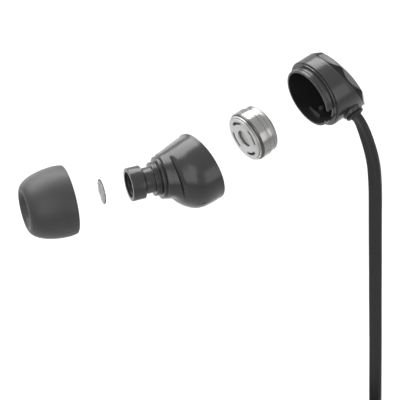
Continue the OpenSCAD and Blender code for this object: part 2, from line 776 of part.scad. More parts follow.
module ear_piece(e, side) {
    if (e == "ear_tip") ear_tip(side);
    if (e == "mesh") mesh(side);
    if (e == "front_housing") front_housing(side);
    if (e == "gasket") gasket(side);
    if (e == "front_plate") front_plate(side);
    if (e == "trim_ring") trim_ring(side);
    if (e == "driver_frame") driver_frame(side);
    if (e == "rear_can") rear_can(side);
    if (e == "diaphragm") diaphragm(side);
    if (e == "voice_coil") voice_coil(side);
    if (e == "magnet") magnet(side);
    if (e == "top_plate") top_plate(side);
    if (e == "yoke") yoke(side);
    if (e == "damping_cloth") damping_cloth(side);
    if (e == "terminal_board") terminal_board(side);
    if (e == "rear_housing") rear_housing(side);
    if (e == "back_cap") back_cap(side);
    if (e == "bushing") bushing(side);
    if (e == "cord_anchor") cord_anchor(side);
}

for (s = SIDES) for (e = EAR_NODES) {
    ear_piece(e, s);
}
right_lead();
right_lead_wound();
left_lead();
left_lead_wound();
main_lead_wound();
main_lead_end();
splitter_front();
splitter_back();
hank_tie();
plug_relief();
plug_grip();
jack_sleeve();
jack_ring();
jack_tip();
jack_insulators();
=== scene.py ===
# Looks of the wired earphones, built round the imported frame. Shapes are worked out in millimetres, in the
# frames that the part's source uses, and scaled to metres when a piece is made.
from math import cos, hypot, pi, radians, sin, sqrt, tan, tau

import bmesh
import bpy
import numpy as np
from mathutils import Matrix, Vector


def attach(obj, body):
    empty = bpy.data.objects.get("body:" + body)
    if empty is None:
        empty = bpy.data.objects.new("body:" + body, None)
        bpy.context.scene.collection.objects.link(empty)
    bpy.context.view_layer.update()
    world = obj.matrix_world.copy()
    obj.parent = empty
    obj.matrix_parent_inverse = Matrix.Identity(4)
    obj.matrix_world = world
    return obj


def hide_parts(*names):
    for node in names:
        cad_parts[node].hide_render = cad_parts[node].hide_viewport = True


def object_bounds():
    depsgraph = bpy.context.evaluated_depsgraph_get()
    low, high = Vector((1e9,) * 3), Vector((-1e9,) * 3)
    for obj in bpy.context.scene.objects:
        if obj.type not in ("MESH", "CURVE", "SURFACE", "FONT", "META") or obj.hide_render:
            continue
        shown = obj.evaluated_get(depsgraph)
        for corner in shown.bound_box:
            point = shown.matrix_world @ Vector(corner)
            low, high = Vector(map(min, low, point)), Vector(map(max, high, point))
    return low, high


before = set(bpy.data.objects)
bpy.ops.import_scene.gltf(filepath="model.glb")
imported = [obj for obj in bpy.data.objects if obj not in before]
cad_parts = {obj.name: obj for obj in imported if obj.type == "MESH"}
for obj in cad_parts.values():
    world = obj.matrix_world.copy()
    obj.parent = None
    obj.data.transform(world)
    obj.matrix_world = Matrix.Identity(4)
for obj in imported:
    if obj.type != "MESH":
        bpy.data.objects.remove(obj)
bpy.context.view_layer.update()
scene = bpy.context.scene
MM = 0.001
X_AXIS = Vector((1, 0, 0))


def add_object(name, data):
    ob = bpy.data.objects.new(name, data)
    scene.collection.objects.link(ob)
    return ob


# ----- the source's numbers

# ear tip, nozzle and mesh
TIP_R, TIP_LEN, TIP_OPEN_R, TIP_AHEAD, SKIRT_WALL, CORE_WALL, CHANNEL_R = 6.1, 7.9, 3.4, 2.2, 0.55, 0.75, 2.3
LIP_R, LIP_LEN, NECK_R, COLLAR_R, COLLAR_X, MOUTH_R = 2.9, 2.25, 2.27, 2.95, 4.1, 2.25
ROOT_R, ROOT_X, FLARE_R, FLARE_X, BORE_R = 3.7, 5.15, 4.25, 8.3, 1.8
MESH_R, MESH_T = 2.2, 0.3
# housings and back cap
KNEE_X, YAW, PITCH, BODY_R, RIM_Z = 12.5, 18, 7, 6.35, 0.8
SHOULDER_Z, REAR_BORE_R, STEP_R, SPIGOT_R, SPIGOT_LEN, KEY_TURN, KEY_W = 0.85, 5.1, 6.0, 5.5, 1.65, 80, 2.8
CAP_Z, CAP_TILT, CAP_T, CAP_EDGE, CROWN_OFF = 6.0, 22, 2.1, 0.85, 0.8
CAP_FLATS, FLAT_TILT, FLAT_TURN, FLAT_LOW = 7, 48, 5, 0.15
OUTLET_TURN, OUTLET_Z, BOSS_R, BOSS_TOP, BUSH_R, BUSH_TOP = 60, 4.75, 1.95, 6.75, 1.75, 7.55
SLIDE_GAP, SEAT_GAP = 0.05, 0.03
# driver
DRIVER_Z, DRIVER_R, PLATE_R, PLATE_T, PLATE_HOLE_R = -2.55, 4.55, 3.95, 0.35, 1.6
FRAME_Z, FRAME_LEN, CAN_R, CAN_LEN = 0.45, 2.15, 4.3, 1.7
# how far each group stands from its assembled place
TIP_APART, MESH_APART, DRIVER_APART, REAR_APART = 16.25, 5, 12.8, 25.6
# cord, and where its parts hang
CORD_W, CORD_T = 2.4, 1.1
HANK_C = Vector((36.9, -3.25, -107.7))
LEFT_END = Vector((24.8, -6.15, -143))
PLUG_TOP = Vector((45.7, -14.85, -143))


def ease(s):
    return s * s * (3 - 2 * s)


def shift(x, y, z):
    return Matrix.Translation((x, y, z))


def turned(axis, degrees):
    return Matrix.Rotation(radians(degrees), 4, axis)


NOZZLE = turned("Y", 90)
BODY = shift(KNEE_X, 0, 0) @ turned("Z", YAW) @ turned("Y", 90 - PITCH)
OUTLET = BODY @ shift(0, 0, OUTLET_Z) @ turned("Z", -OUTLET_TURN) @ turned("Y", 90)
CAP = BODY @ shift(0, 0, CAP_Z) @ turned("Y", -CAP_TILT)
DRIVER = BODY @ shift(0, 0, DRIVER_Z)
AXIS = (BODY.to_3x3() @ Vector((0, 0, 1))).normalized()
# the left earpiece: the right one's mirror image, turned so that its outlet meets the left cord's end
MIRROR = Matrix.Scale(-1, 4, (0, 1, 0)) @ BODY.inverted()
TO_LEFT = (Matrix.Translation(LEFT_END - Vector((OUTLET_Z, 0, BUSH_TOP))) @ turned("Z", 180)
           @ turned("Y", -90) @ turned("Z", -OUTLET_TURN) @ MIRROR)
APART = {
    "tip": shift(-TIP_APART, 0, 0),
    "mesh": shift(-MESH_APART, 0, 0),
    "front": Matrix.Identity(4),
    "driver": Matrix.Translation(AXIS * DRIVER_APART),
    "membrane": Matrix.Translation(AXIS * DRIVER_APART),
    "rear": Matrix.Translation(AXIS * REAR_APART),
}
# the groups of each earpiece that ride on the cable's body; the others have a body of their own
ON_CABLE = {"right": ("rear",), "left": ("mesh", "front", "driver", "rear")}

# ----- camera, set before the cords, which are measured in its view

CAM_TURN, CAM_RISE = -20.48, 41.53
CAM_OFF = Vector((12.07, -2.55, 339))  # along its right, up and back
CAM_AXES = turned("Z", CAM_TURN) @ turned("X", 90 - CAM_RISE)
cam_data = bpy.data.cameras.new("camera")
cam_data.sensor_width = 36
cam_data.lens = 180
cam_data.clip_start = 0.01
cam_data.clip_end = 20
camera = add_object("camera", cam_data)
camera.matrix_world = CAM_AXES @ Matrix.Translation(CAM_OFF * MM)
scene.camera = camera
scene.view_settings.view_transform = "Standard"

# ----- mesh making


def arc(r, a0, a1, n, centre=(0, 0)):
    """n + 1 points of an arc from angle a0 to a1."""
    angles = [a0 + (a1 - a0) * k / n for k in range(n + 1)]
    return [(centre[0] + r * cos(a), centre[1] + r * sin(a)) for a in angles]


def circle(r, n=96):
    return arc(r, 0, tau, n)[:-1]


def rounded_box(x, y, r, n=5):
    out = []
    for cx, cy, a in ((1, 1, 0), (-1, 1, 90), (-1, -1, 180), (1, -1, 270)):
        out += arc(r, radians(a), radians(a + 90), n, (cx * (x / 2 - r), cy * (y / 2 - r)))
    return out


def quarter(r0, r1, z0, z1, n=28):
    """A quarter of an ellipse in a profile, square to the axis at (r0, z0) and along it at (r1, z1)."""
    angles = [radians(90 * k / n) for k in range(n + 1)]
    return [(r0 + (r1 - r0) * sin(a), z0 + (z1 - z0) * (1 - cos(a))) for a in angles]


def soften(points, r, n=3, closed=True):
    """Rounds the corners of a profile of (radius, height) points; a third number is the corner's radius."""
    out = []
    count = len(points)
    for i, p in enumerate(points):
        if not closed and i in (0, count - 1):
            out.append(tuple(p[:2]))
            continue
        p0, a, b = Vector(p[:2]), Vector(points[i - 1][:2]), Vector(points[(i + 1) % count][:2])
        ua, ub = a - p0, b - p0
        la, lb = ua.length, ub.length
        if la < 1e-6 or lb < 1e-6 or p0.x < 1e-6 or abs(ua.angle(ub) - pi) < 0.15:
            out.append(tuple(p0))
            continue
        half = ua.angle(ub) / 2
        rr = p[2] if len(p) > 2 else r
        d = min(rr / tan(half), 0.45 * la, 0.45 * lb)
        s, e = p0 + ua / la * d, p0 + ub / lb * d
        for k in range(n + 1):
            t = k / n
            out.append(tuple(s * (1 - t) ** 2 + p0 * 2 * t * (1 - t) + e * t * t))
    return out


def lathe_rings(profile, steps=96, wave=None):
    """Rings round Z. wave, if given, turns (angle, index, radius, height) into a new radius and height."""
    rings = []
    for i, (r, z) in enumerate(profile):
        ring = []
        for k in range(steps):
            a = tau * k / steps
            rr, zz = wave(a, i, r, z) if wave else (r, z)
            ring.append((rr * cos(a), rr * sin(a), zz))
        rings.append(ring)
    return rings


def skin(rings, loop=True, caps=False):
    """Vertices and faces through rings of equally many points; loop joins the last ring to the first."""
    n = len(rings[0])
    verts = [Vector(p) for ring in rings for p in ring]
    faces = []
    for i in range(len(rings) if loop else len(rings) - 1):
        a, b = i * n, (i + 1) % len(rings) * n
        faces += [(a + k, a + (k + 1) % n, b + (k + 1) % n, b + k) for k in range(n)]
    if caps:
        faces += [tuple(range(n))[::-1], tuple(range((len(rings) - 1) * n, len(rings) * n))]
    return verts, faces


def prism(rings):
    return skin(rings, loop=False, caps=True)


def lathe(profile, steps=96, loop=True, wave=None):
    return skin(lathe_rings(profile, steps, wave), loop)


def solid_lathe(profile, steps, r=0, n=3):
    """A turned solid whose profile starts and ends on the axis; r, if given, rounds its corners."""
    return lathe(soften(profile, r, n, closed=False) if r else profile, steps, loop=False)


def drill(r, z0, z1, steps):
    return solid_lathe([(0, z0), (r, z0), (r, z1), (0, z1)], steps)


def moved(part, matrix):
    return [matrix @ v for v in part[0]], part[1]


def build_mesh(parts):
    """One bmesh from several (vertices, faces) parts, with merged poles and outward faces."""
    bm = bmesh.new()
    for verts, faces in parts:
        made = [bm.verts.new(v) for v in verts]
        for f in faces:
            bm.faces.new([made[i] for i in f])
    bmesh.ops.remove_doubles(bm, verts=bm.verts, dist=1e-5)
    bmesh.ops.dissolve_degenerate(bm, edges=bm.edges, dist=1e-6)
    bmesh.ops.recalc_face_normals(bm, faces=bm.faces)
    return bm


def temp_object(bm):
    me = bpy.data.meshes.new("temp")
    bm.to_mesh(me)
    bm.free()
    return add_object("temp", me)


def shaped_mesh(ob):
    """The object's mesh as it is shown, as a bmesh."""
    bpy.context.view_layer.update()
    me = bpy.data.meshes.new_from_object(ob.evaluated_get(bpy.context.evaluated_depsgraph_get()))
    bm = bmesh.new()
    bm.from_mesh(me)
    bpy.data.meshes.remove(me)
    return bm


def combine(base, cuts, joins=()):
    """Exact booleans on a part, as a bmesh: first what is joined to it, then what is cut out of it."""
    ob = temp_object(build_mesh([base]))
    tools = []
    for op, parts in (("UNION", joins), ("DIFFERENCE", cuts)):
        for part in parts:
            tools.append(temp_object(build_mesh([part])))
            mod = ob.modifiers.new(op, "BOOLEAN")
            mod.operation = op
            mod.solver = "EXACT"
            mod.object = tools[-1]
    out = shaped_mesh(ob)
    for o in [ob] + tools:
        old = o.data
        bpy.data.objects.remove(o)
        bpy.data.meshes.remove(old)
    bmesh.ops.remove_doubles(out, verts=out.verts, dist=1e-3)
    bmesh.ops.dissolve_degenerate(out, edges=out.edges, dist=1e-3)
    return out


def piece(name, shape, at, body, mat, slot, stands=(), sharp=35, extra=()):
    """A finished object. shape, a bmesh or its parts, is in millimetres in its own frame, which at places.
    The attribute "local" keeps its own coordinates."""
    bm = shape if isinstance(shape, bmesh.types.BMesh) else build_mesh(shape)
    me = bpy.data.meshes.new(name)
    layer = bm.verts.layers.float_vector.new("local")
    for v in bm.verts:
        v[layer] = v.co
    world = Matrix.Scale(MM, 4) @ at
    bmesh.ops.transform(bm, matrix=world, verts=bm.verts)
    if world.determinant() < 0:
        bmesh.ops.reverse_faces(bm, faces=bm.faces)
    bm.to_mesh(me)
    bm.free()
    me.shade_smooth()
    me.set_sharp_from_angle(angle=radians(sharp))
    for m in (mat, *extra):
        me.materials.append(m)
    ob = add_object(name, me)
    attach(ob, body)
    if stands:
        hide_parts(*stands)
    return ob


def ear_piece(side, group, name, shape, at, mat, slot, node=None, **more):
    """A piece of one earpiece: group says what it moves with, and node which CAD node it stands for."""
    home = TO_LEFT if side == "left" else APART[group]
    body = "cable" if group in ON_CABLE[side] else side + "_" + group
    stands = [side + "_" + node] if node else ()
    return piece(side + "_" + name, shape, home @ at, body, mat, slot, stands, **more)


# ----- materials


def feed(tree, inputs, values):
    """Sets each input to its value, or links it to the socket that is given for it."""
    for key, value in values.items():
        if isinstance(value, bpy.types.NodeSocket):
            tree.links.new(value, inputs[key])
        else:
            inputs[key].default_value = value


def add_node(tree, kind, values, operation=None):
    made = tree.nodes.new("ShaderNode" + kind)
    if operation:
        made.operation = operation
    feed(tree, made.inputs, values)
    return made


def noise(tree, where, scale, detail):
    return add_node(tree, "TexNoise", {"Vector": where, "Scale": scale, "Detail": detail}).outputs["Fac"]


def surface_place(tree, coords, spin):
    """Where a point is on its piece, in millimetres."""
    if coords == "local":
        local = add_node(tree, "Attribute", {})
        local.attribute_name = "local"
        where = local.outputs["Vector"]
    else:
        own = add_node(tree, "TexCoord", {}).outputs["Object"]
        where = add_node(tree, "VectorMath", {0: own, "Scale": 1 / MM}, "SCALE").outputs[0]
    if not spin:
        return where
    x, y, z = add_node(tree, "SeparateXYZ", {0: where}).outputs
    angle = add_node(tree, "Math", {0: y, 1: x}, "ARCTAN2").outputs[0]
    slow = add_node(tree, "Math", {0: angle, 1: spin}, "MULTIPLY").outputs[0]
    flat = add_node(tree, "VectorMath", {0: where, 1: (1, 1, 0)}, "MULTIPLY").outputs[0]
    radius = add_node(tree, "VectorMath", {0: flat}, "LENGTH").outputs["Value"]
    return add_node(tree, "CombineXYZ", {0: radius, 1: z, 2: slow}).outputs[0]


def material(name, color, rough, metallic=0, grain=0.1, bump=0.001, vary=0.08, tone=0.1, coords="local",
             spin=0, sheen=0, coat=0, spec=0.5):
    """Procedural surface. grain and bump are in millimetres; vary is the spread of roughness, and tone of
    brightness. spin above 0 draws the grain out round the local Z axis, as turning leaves it."""
    m = bpy.data.materials.new(name)
    m.use_nodes = True
    tree = m.node_tree
    where = surface_place(tree, coords, spin)
    fine, broad = noise(tree, where, 1 / grain, 3), noise(tree, where, 0.35, 2)
    low, high = 0.3, 0.7  # the noise seldom leaves this range
    rough_map = add_node(tree, "MapRange", {"Value": fine, "From Min": low, "From Max": high,
                                            "To Min": max(0.02, rough - vary), "To Max": rough + vary})
    ramp = add_node(tree, "ValToRGB", {"Fac": broad})
    for stop, place, level in zip(ramp.color_ramp.elements, (low, high), (1 - tone, 1 + tone)):
        stop.position = place
        stop.color = tuple(min(1, c * level) for c in color) + (1,)
    shader = tree.nodes["Principled BSDF"]
    feed(tree, shader.inputs, {
        "Base Color": ramp.outputs["Color"], "Roughness": rough_map.outputs["Result"], "Metallic": metallic,
        "Specular IOR Level": spec, "Coat Weight": coat, "Coat Roughness": 0.06,
        "Sheen Weight": sheen, "Sheen Roughness": 0.45})
    if bump:
        relief = add_node(tree, "Bump", {"Height": fine, "Distance": bump * MM})
        feed(tree, shader.inputs, {"Normal": relief.outputs["Normal"]})
    return m


def metal(name, color, rough, **more):
    return material(name, color, rough, metallic=1, **more)


# what shows in the photo
SILICONE = material("silicone", (0.036, 0.036, 0.037), 0.48, bump=0.0015, spec=0.45)
SATIN = material("satin_plastic", (0.022, 0.022, 0.0225), 0.24, grain=0.07, vary=0.04)
GLOSS = material("gloss_plastic", (0.008, 0.008, 0.0083), 0.1, grain=0.2, bump=0.0003, vary=0.03, spec=0.25)
STEEL = metal("turned_steel", (0.28, 0.277, 0.272), 0.2, grain=0.05, bump=0.0006, vary=0.05,
              tone=0.05, spin=0.6)
PLATE = metal("plate_steel", (0.52, 0.52, 0.515), 0.42, grain=0.08, bump=0.002, vary=0.07, tone=0.05)
KNURL = metal("knurled_steel", (0.4, 0.4, 0.4), 0.26, grain=0.06, bump=0.002)
# painted shade on the driver barrel's front shoulder; on the woven mesh it darkens the wire ends
DARK_ENDS_AND_PAINTED_SHADE = metal("dark_steel", (0.085, 0.083, 0.08), 0.28, grain=0.06, spin=0.5)
MOULDED = material("moulded_peg", (0.07, 0.07, 0.07), 0.3, grain=0.08)
WIRE = metal("mesh_wire", (0.72, 0.72, 0.72), 0.32, grain=0.08, tone=0.12)
FILM = material("film", (0.6, 0.6, 0.595), 0.45, metallic=0.6, grain=0.12, bump=0.002, spin=0.3)
CORD = material("cord_jacket", (0.009, 0.009, 0.0093), 0.44, grain=0.09, bump=0.0015, vary=0.05,
                coords="object", spec=0.32)
RUBBER = material("relief_rubber", (0.032, 0.032, 0.033), 0.48, bump=0.0015, spec=0.2)
# what doesn't
TIE = material("tie_band", (0.025, 0.025, 0.026), 0.6, grain=0.12, bump=0.004)
GOLD = metal("gold_plate", (0.8, 0.58, 0.26), 0.14, grain=0.08, bump=0.0004, vary=0.05, tone=0.04, spin=0.5)
INSULATOR = material("insulator", (0.02, 0.02, 0.02), 0.4)
BOARD = material("circuit_board", (0.03, 0.16, 0.07), 0.35, bump=0.002, coat=0.3)
SOLDER = metal("solder", (0.66, 0.66, 0.65), 0.25, grain=0.2, bump=0.004)
COPPER = metal("copper_wire", (0.62, 0.3, 0.15), 0.35, grain=0.05, bump=0.01, coords="object")
MAGNET = metal("plated_magnet", (0.42, 0.42, 0.44), 0.25, coords="object")
IRON = metal("plated_iron", (0.52, 0.52, 0.54), 0.32, grain=0.06, coords="object")
FELT = material("damping_felt", (0.7, 0.7, 0.68), 0.9, grain=0.05, bump=0.02, coords="object", sheen=0.3)
FOAM = material("foam", (0.03, 0.03, 0.031), 0.85, grain=0.08, bump=0.02, coords="object", spec=0.2)
ANCHOR = material("anchor_rubber", (0.03, 0.03, 0.031), 0.6, bump=0.003, coords="object")

KEPT_NODES = {"gasket": FOAM, "voice_coil": COPPER, "magnet": MAGNET, "top_plate": IRON, "yoke": IRON,
              "damping_cloth": FELT, "cord_anchor": ANCHOR}


def dress(node, mat):
    """A CAD solid that is shown as it is, in its material."""
    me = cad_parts[node].data
    me.materials.clear()
    me.materials.append(mat)


# ----- ear tip and mesh


def ear_tip(side):
    skirt_r = TIP_R - 0.2  # at its open end, past the widest place
    widest = TIP_LEN - 1.3
    core_bore, core_len = LIP_R + SLIDE_GAP, TIP_AHEAD + COLLAR_X - SLIDE_GAP
    core_r, seat = core_bore + CORE_WALL, TIP_AHEAD - 0.1
    mouth = [(CHANNEL_R, 1.2, 0.3), (TIP_OPEN_R - 0.55, 0.42, 0.25), (TIP_OPEN_R - 0.2, 0.1, 0.15)]
    skirt = [(skirt_r + 0.1, TIP_LEN - 0.4), (skirt_r, TIP_LEN, 0.2), (skirt_r - SKIRT_WALL, TIP_LEN, 0.2)]
    core = [(core_r, core_len, 0.2), (core_bore, core_len, 0.15), (core_bore, seat, 0.1),
            (CHANNEL_R, seat, 0.1)]
    outer = quarter(TIP_OPEN_R, TIP_R, 0, widest)
    inner = quarter(core_r, TIP_R - SKIRT_WALL, TIP_AHEAD - 0.3, widest)[::-1]
    shape = [lathe(soften(mouth + outer + skirt + inner + core, 0.12))]
    at = NOZZLE @ shift(0, 0, -TIP_AHEAD)
    ear_piece(side, "tip", "tip_silicone", shape, at, SILICONE, "silicone", "ear_tip")


def woven_mesh(side):
    """Wires over and under each other, cut unevenly; their ends, past cut_from of the radius, are dark."""
    pitch, wire_r, wave, turn = 0.27, 0.062, 0.055, 28
    edge_gap, uneven, shortest, cut_from = 0.02, 0.025, 0.1, 0.88
    count = int(MESH_R / pitch)
    wires = []
    for way in (0, 1):
        for i in range(-count, count + 1):
            off = i * pitch
            chord = sqrt(max(0, MESH_R ** 2 - (abs(off) + wire_r) ** 2))
            half = chord - edge_gap - uneven * (i % 3)
            if half < shortest:
                continue
            n = max(4, int(half / pitch * 5))
            rings = []
            for k in range(n + 1):
                s = -half + 2 * half * k / n
                z = MESH_T / 2 + wave * cos(pi * s / pitch + pi * (i + way))
                ring = [(s, off + across, z + up) for across, up in circle(wire_r, 6)]
                rings.append([(y, x, up) for x, y, up in ring] if way else ring)
            wires.append(prism(rings))
    weave = build_mesh(wires)
    for f in weave.faces:
        f.material_index = int(f.calc_center_median().xy.length > cut_from * MESH_R)
    at = NOZZLE @ shift(0, 0, SLIDE_GAP) @ turned("Z", turn)
    ear_piece(side, "mesh", "mesh_weave", weave, at, WIRE, "woven_mesh", "mesh", sharp=60,
              extra=[DARK_ENDS_AND_PAINTED_SHADE])


# ----- front housing

STEPS = 160  # points round each ring of the housings
REF = BODY.to_3x3() @ X_AXIS  # the direction of each ring's first point
KNEE = Vector((KNEE_X, 0, 0))
BALL_OFF, BALL_R, HULL_X, HULL_R = -0.22 * CAM_AXES.col[1].to_3d(), 6.67, 5.9, 3.5
# widths of the blends: into the body's tube, of the even root and of the waisted one
TUBE_BLEND, EVEN_BLEND, WAIST_BLEND = 0.9, 0.5, 0.35
# turns round the nozzle, in degrees, as stretch takes them
WAISTED, CREASED = (92, 36, 320, 70), (3, 14, 116, 35)
CREASE_X, CREASE_N = 7.78, Vector((0.99, 0.025, 0.14)).normalized()
CREASE_DEPTH, CREASE_STEP, CREASE_RUN = 0.26, 0.06, 0.8


def plane_ring(centre, normal, radii):
    """A ring round a centre, with one radius, or one for each point."""
    u = (REF - normal * REF.dot(normal)).normalized()
    v = normal.cross(u)
    radii = np.full(STEPS, radii, float)
    return [centre + (u * x + v * y) * r for (x, y), r in zip(circle(1, STEPS), radii)]


def axis_rings(centre, axis, profile):
    return [plane_ring(centre + axis * z, axis, r) for r, z in soften(profile, 0.05, closed=False)]


def soft_min(a, b, k):
    h = np.clip(0.5 + 0.5 * (b - a) / k, 0, 1)
    return b * (1 - h) + a * h - k * h * (1 - h)


def ramp(x, start, over):
    """0 up to start and 1 from start + over on, with a smooth way between; over below 0 mirrors it."""
    return ease(np.clip((x - start) / over, 0, 1))


def stretch(turn, start, rise, end, fall):
    """1 from start to end, with smooth ways in and out, rise and fall long."""
    return ramp(turn, start, rise) * ramp(turn, end, -fall)


def round_cone(p, a, b, ra, rb):
    """Signed distance to the hull of two balls."""
    ab = b - a
    l2, rr = ab @ ab, ra - rb
    a2 = l2 - rr * rr
    pa = p - a
    y = pa @ ab
    z = y - l2
    x2 = ((pa * l2 - np.outer(y, ab)) ** 2).sum(1)
    k = np.sign(rr) * rr * rr * x2
    far = np.sqrt(x2 + z * z * l2) / l2 - rb
    near = np.sqrt(x2 + y * y * l2) / l2 - ra
    side = (np.sqrt(x2 * a2 / l2) + y * rr) / l2 - ra
    before = np.where(np.sign(y) * a2 * y * y * l2 < k, near, side)
    return np.where(np.sign(z) * a2 * z * z * l2 > k, far, before)


def outside(p):
    """Signed distance, about, to the outer form: the nozzle's root widens evenly into the dome, or with a
    waist on the far side. A crease crosses the forward side, sharp at the root and soft on the dome."""
    axial = p[:, 0]
    off = np.hypot(p[:, 1], p[:, 2])
    slope = (FLARE_R - ROOT_R) / (FLARE_X - ROOT_X)
    cone = (off - (ROOT_R + slope * (axial - ROOT_X))) / hypot(1, slope)
    q = p - np.array(KNEE)
    tube = np.sqrt(np.maximum(0, (q ** 2).sum(1) - (q @ np.array(AXIS)) ** 2)) - BODY_R
    hull = round_cone(p, np.array([HULL_X, 0, 0]), np.array(KNEE + BALL_OFF), HULL_R, BALL_R)
    even = soft_min(cone, -soft_min(-hull, -tube, TUBE_BLEND), EVEN_BLEND)
    ball = np.linalg.norm(q - np.array(BALL_OFF), axis=1) - BALL_R
    waisted = soft_min(cone, -soft_min(-ball, -tube, TUBE_BLEND), WAIST_BLEND)
    turn = np.degrees(np.arctan2(-p[:, 1], p[:, 2])) % 360
    under = stretch(turn, *WAISTED)
    past = (p - np.array([CREASE_X, 0, 0])) @ np.array(CREASE_N)
    groove = np.clip(past / CREASE_STEP, 0, 1) * ramp(past, CREASE_STEP + CREASE_RUN, -CREASE_RUN)
    return even * (1 - under) + waisted * under + CREASE_DEPTH * stretch(turn, *CREASED) * groove


def housing_rings():
    """Rings of the outer form, parallel to the crease where they pass it, and closest just behind it."""
    start, at_crease, end = Vector((ROOT_X + 0.75, 0, 0)), Vector((CREASE_X, 0, 0)), KNEE + AXIS * 0.2
    root_count, dome_count, halvings = 24, 50, 40
    nearest, furthest = 1.0, 9.0
    planes = []
    for k in range(root_count + 1):
        t = k / root_count
        planes.append((start.lerp(at_crease, t), X_AXIS.lerp(CREASE_N, t)))
    behind = [0.006, 0.013, 0.02, 0.03, 0.042, 0.056, 0.074]
    for t in behind + [0.1 + 0.9 * k / dome_count for k in range(dome_count + 1)]:
        centre = at_crease * (1 - t) ** 2 + KNEE * 2 * t * (1 - t) + end * t * t
        planes.append((centre, CREASE_N.lerp(AXIS, t)))
    rings = []
    for centre, normal in planes:
        normal = normal.normalized()
        rays = np.array(plane_ring(Vector(), normal, 1))
        low, high = np.full(STEPS, nearest), np.full(STEPS, furthest)
        for _ in range(halvings):
            mid = (low + high) / 2
            inside = outside(np.array(centre) + rays * mid[:, None]) < 0
            low, high = np.where(inside, mid, low), np.where(inside, high, mid)
        rings.append(plane_ring(centre, normal, (low + high) / 2))
    return rings


def front_housing(side):
    groove_r, capsule_r = COLLAR_R - 0.12, DRIVER_R + 0.1
    step_r, spigot_r = STEP_R + SLIDE_GAP, SPIGOT_R + SLIDE_GAP
    step_z, spigot_z, seat_z, room_z, room_r = 0.4, -0.95, -2.9, -4.1, 3.3
    mouth = [(MOUTH_R, 0, 0.06), (LIP_R, 0, 0.12), (LIP_R, LIP_LEN, 0.08), (NECK_R, LIP_LEN + 0.35, 0.12),
             (NECK_R, COLLAR_X, 0.06), (COLLAR_R, COLLAR_X, 0.1), (COLLAR_R, COLLAR_X + 0.42, 0.04),
             (groove_r, COLLAR_X + 0.46, 0.03), (groove_r, COLLAR_X + 0.6, 0.03),
             (COLLAR_R, COLLAR_X + 0.64, 0.04), (COLLAR_R, ROOT_X - 0.12, 0.04),
             (COLLAR_R - 0.1, ROOT_X, 0.03), (ROOT_R, ROOT_X, 0.14), (ROOT_R + 0.02, ROOT_X + 0.34, 0.05),
             (ROOT_R - 0.1, ROOT_X + 0.4, 0.04), (ROOT_R - 0.1, ROOT_X + 0.52, 0.04),
             (ROOT_R + 0.08, ROOT_X + 0.6)]
    back = [(BODY_R, RIM_Z - 0.25), (BODY_R, RIM_Z, 0.08), (step_r, RIM_Z, 0.05), (step_r, step_z, 0.04),
            (spigot_r, step_z, 0.06), (spigot_r, spigot_z, 0.08), (capsule_r, spigot_z, 0.08),
            (capsule_r, seat_z, 0.06), (room_r, seat_z, 0.08), (room_r, room_z, 0.1), (2.2, room_z)]
    inner = [(BORE_R, 6.5), (BORE_R, 0.5, 0.05), (MOUTH_R, 0.5, 0.04), (MOUTH_R, 0.1)]
    edge = plane_ring(Vector(), X_AXIS, BORE_R)
    for p in edge:
        p.x = KNEE_X + (room_z - p.y * AXIS.y - p.z * AXIS.z) / AXIS.x
    rings = axis_rings(Vector(), X_AXIS, mouth) + housing_rings() + axis_rings(KNEE, AXIS, back)
    rings += [edge] + axis_rings(Vector(), X_AXIS, inner)
    ear_piece(side, "front", "front_shell", [skin(rings)], Matrix.Identity(4), SATIN, "satin_black",
              "front_housing")


def mouth_cross(side):
    """The two ribs across the nozzle's mouth, with bevelled front edges."""
    half_w, deep, bevel, reach = 0.175, 0.7, 0.04, BORE_R + 0.1
    section = [(-half_w, bevel), (bevel - half_w, 0), (half_w - bevel, 0), (half_w, bevel), (half_w, deep),
               (-half_w, deep)]
    rib = prism([[(x, y, z) for y, z in section] for x in (-reach, reach)])
    ribs = [moved(rib, turned("Z", way)) for way in (20, 110)]
    ear_piece(side, "front", "mouth_cross", ribs, NOZZLE @ shift(0, 0, 0.6), SATIN, "satin_black")


# ----- driver

FRAME_END = FRAME_Z + FRAME_LEN
CAN_Z = FRAME_END + SEAT_GAP
CAN_END = CAN_Z + CAN_LEN
BOARD_Z = CAN_END + SEAT_GAP


def outline_plate(loops, z0, thick, bevel):
    """A flat plate with round-edged holes, from closed loops of points; the first loop is the outside."""
    cu = bpy.data.curves.new("outline", "CURVE")
    cu.dimensions = "2D"
    cu.fill_mode = "BOTH"
    cu.extrude = thick / 2 - bevel
    cu.bevel_depth = bevel
    cu.bevel_resolution = 2
    cu.offset = -bevel
    for loop in loops:
        sp = cu.splines.new("POLY")
        sp.points.add(len(loop) - 1)
        for q, (x, y) in zip(sp.points, loop):
            q.co = (x, y, 0, 1)
        sp.use_cyclic_u = True
    ob = add_object("outline", cu)
    bm = shaped_mesh(ob)
    bpy.data.objects.remove(ob)
    bmesh.ops.remove_doubles(bm, verts=bm.verts, dist=1e-4)
    bmesh.ops.translate(bm, verts=bm.verts, vec=(0, 0, z0 + thick / 2))
    return bm


def bean(r, w, centre, span):
    """Outline of a curved slot with round ends; w is half its width, and the angles are in degrees."""
    a0, a1 = radians(centre - span / 2), radians(centre + span / 2)
    first, last = [(r * cos(a), r * sin(a)) for a in (a0, a1)]
    out = arc(r + w, a0, a1, 20) + arc(w, a1, a1 + pi, 8, last)[1:-1]
    return out + arc(r - w, a1, a0, 20) + arc(w, a0 + pi, a0 + tau, 8, first)[1:-1]


def hole_circle(count, r, at_r, z0, z1, steps):
    """Cutters for a circle of round holes."""
    hole = drill(r, z0, z1, steps)
    return [moved(hole, turned("Z", 360 / count * k) @ shift(at_r, 0, 0)) for k in range(count)]


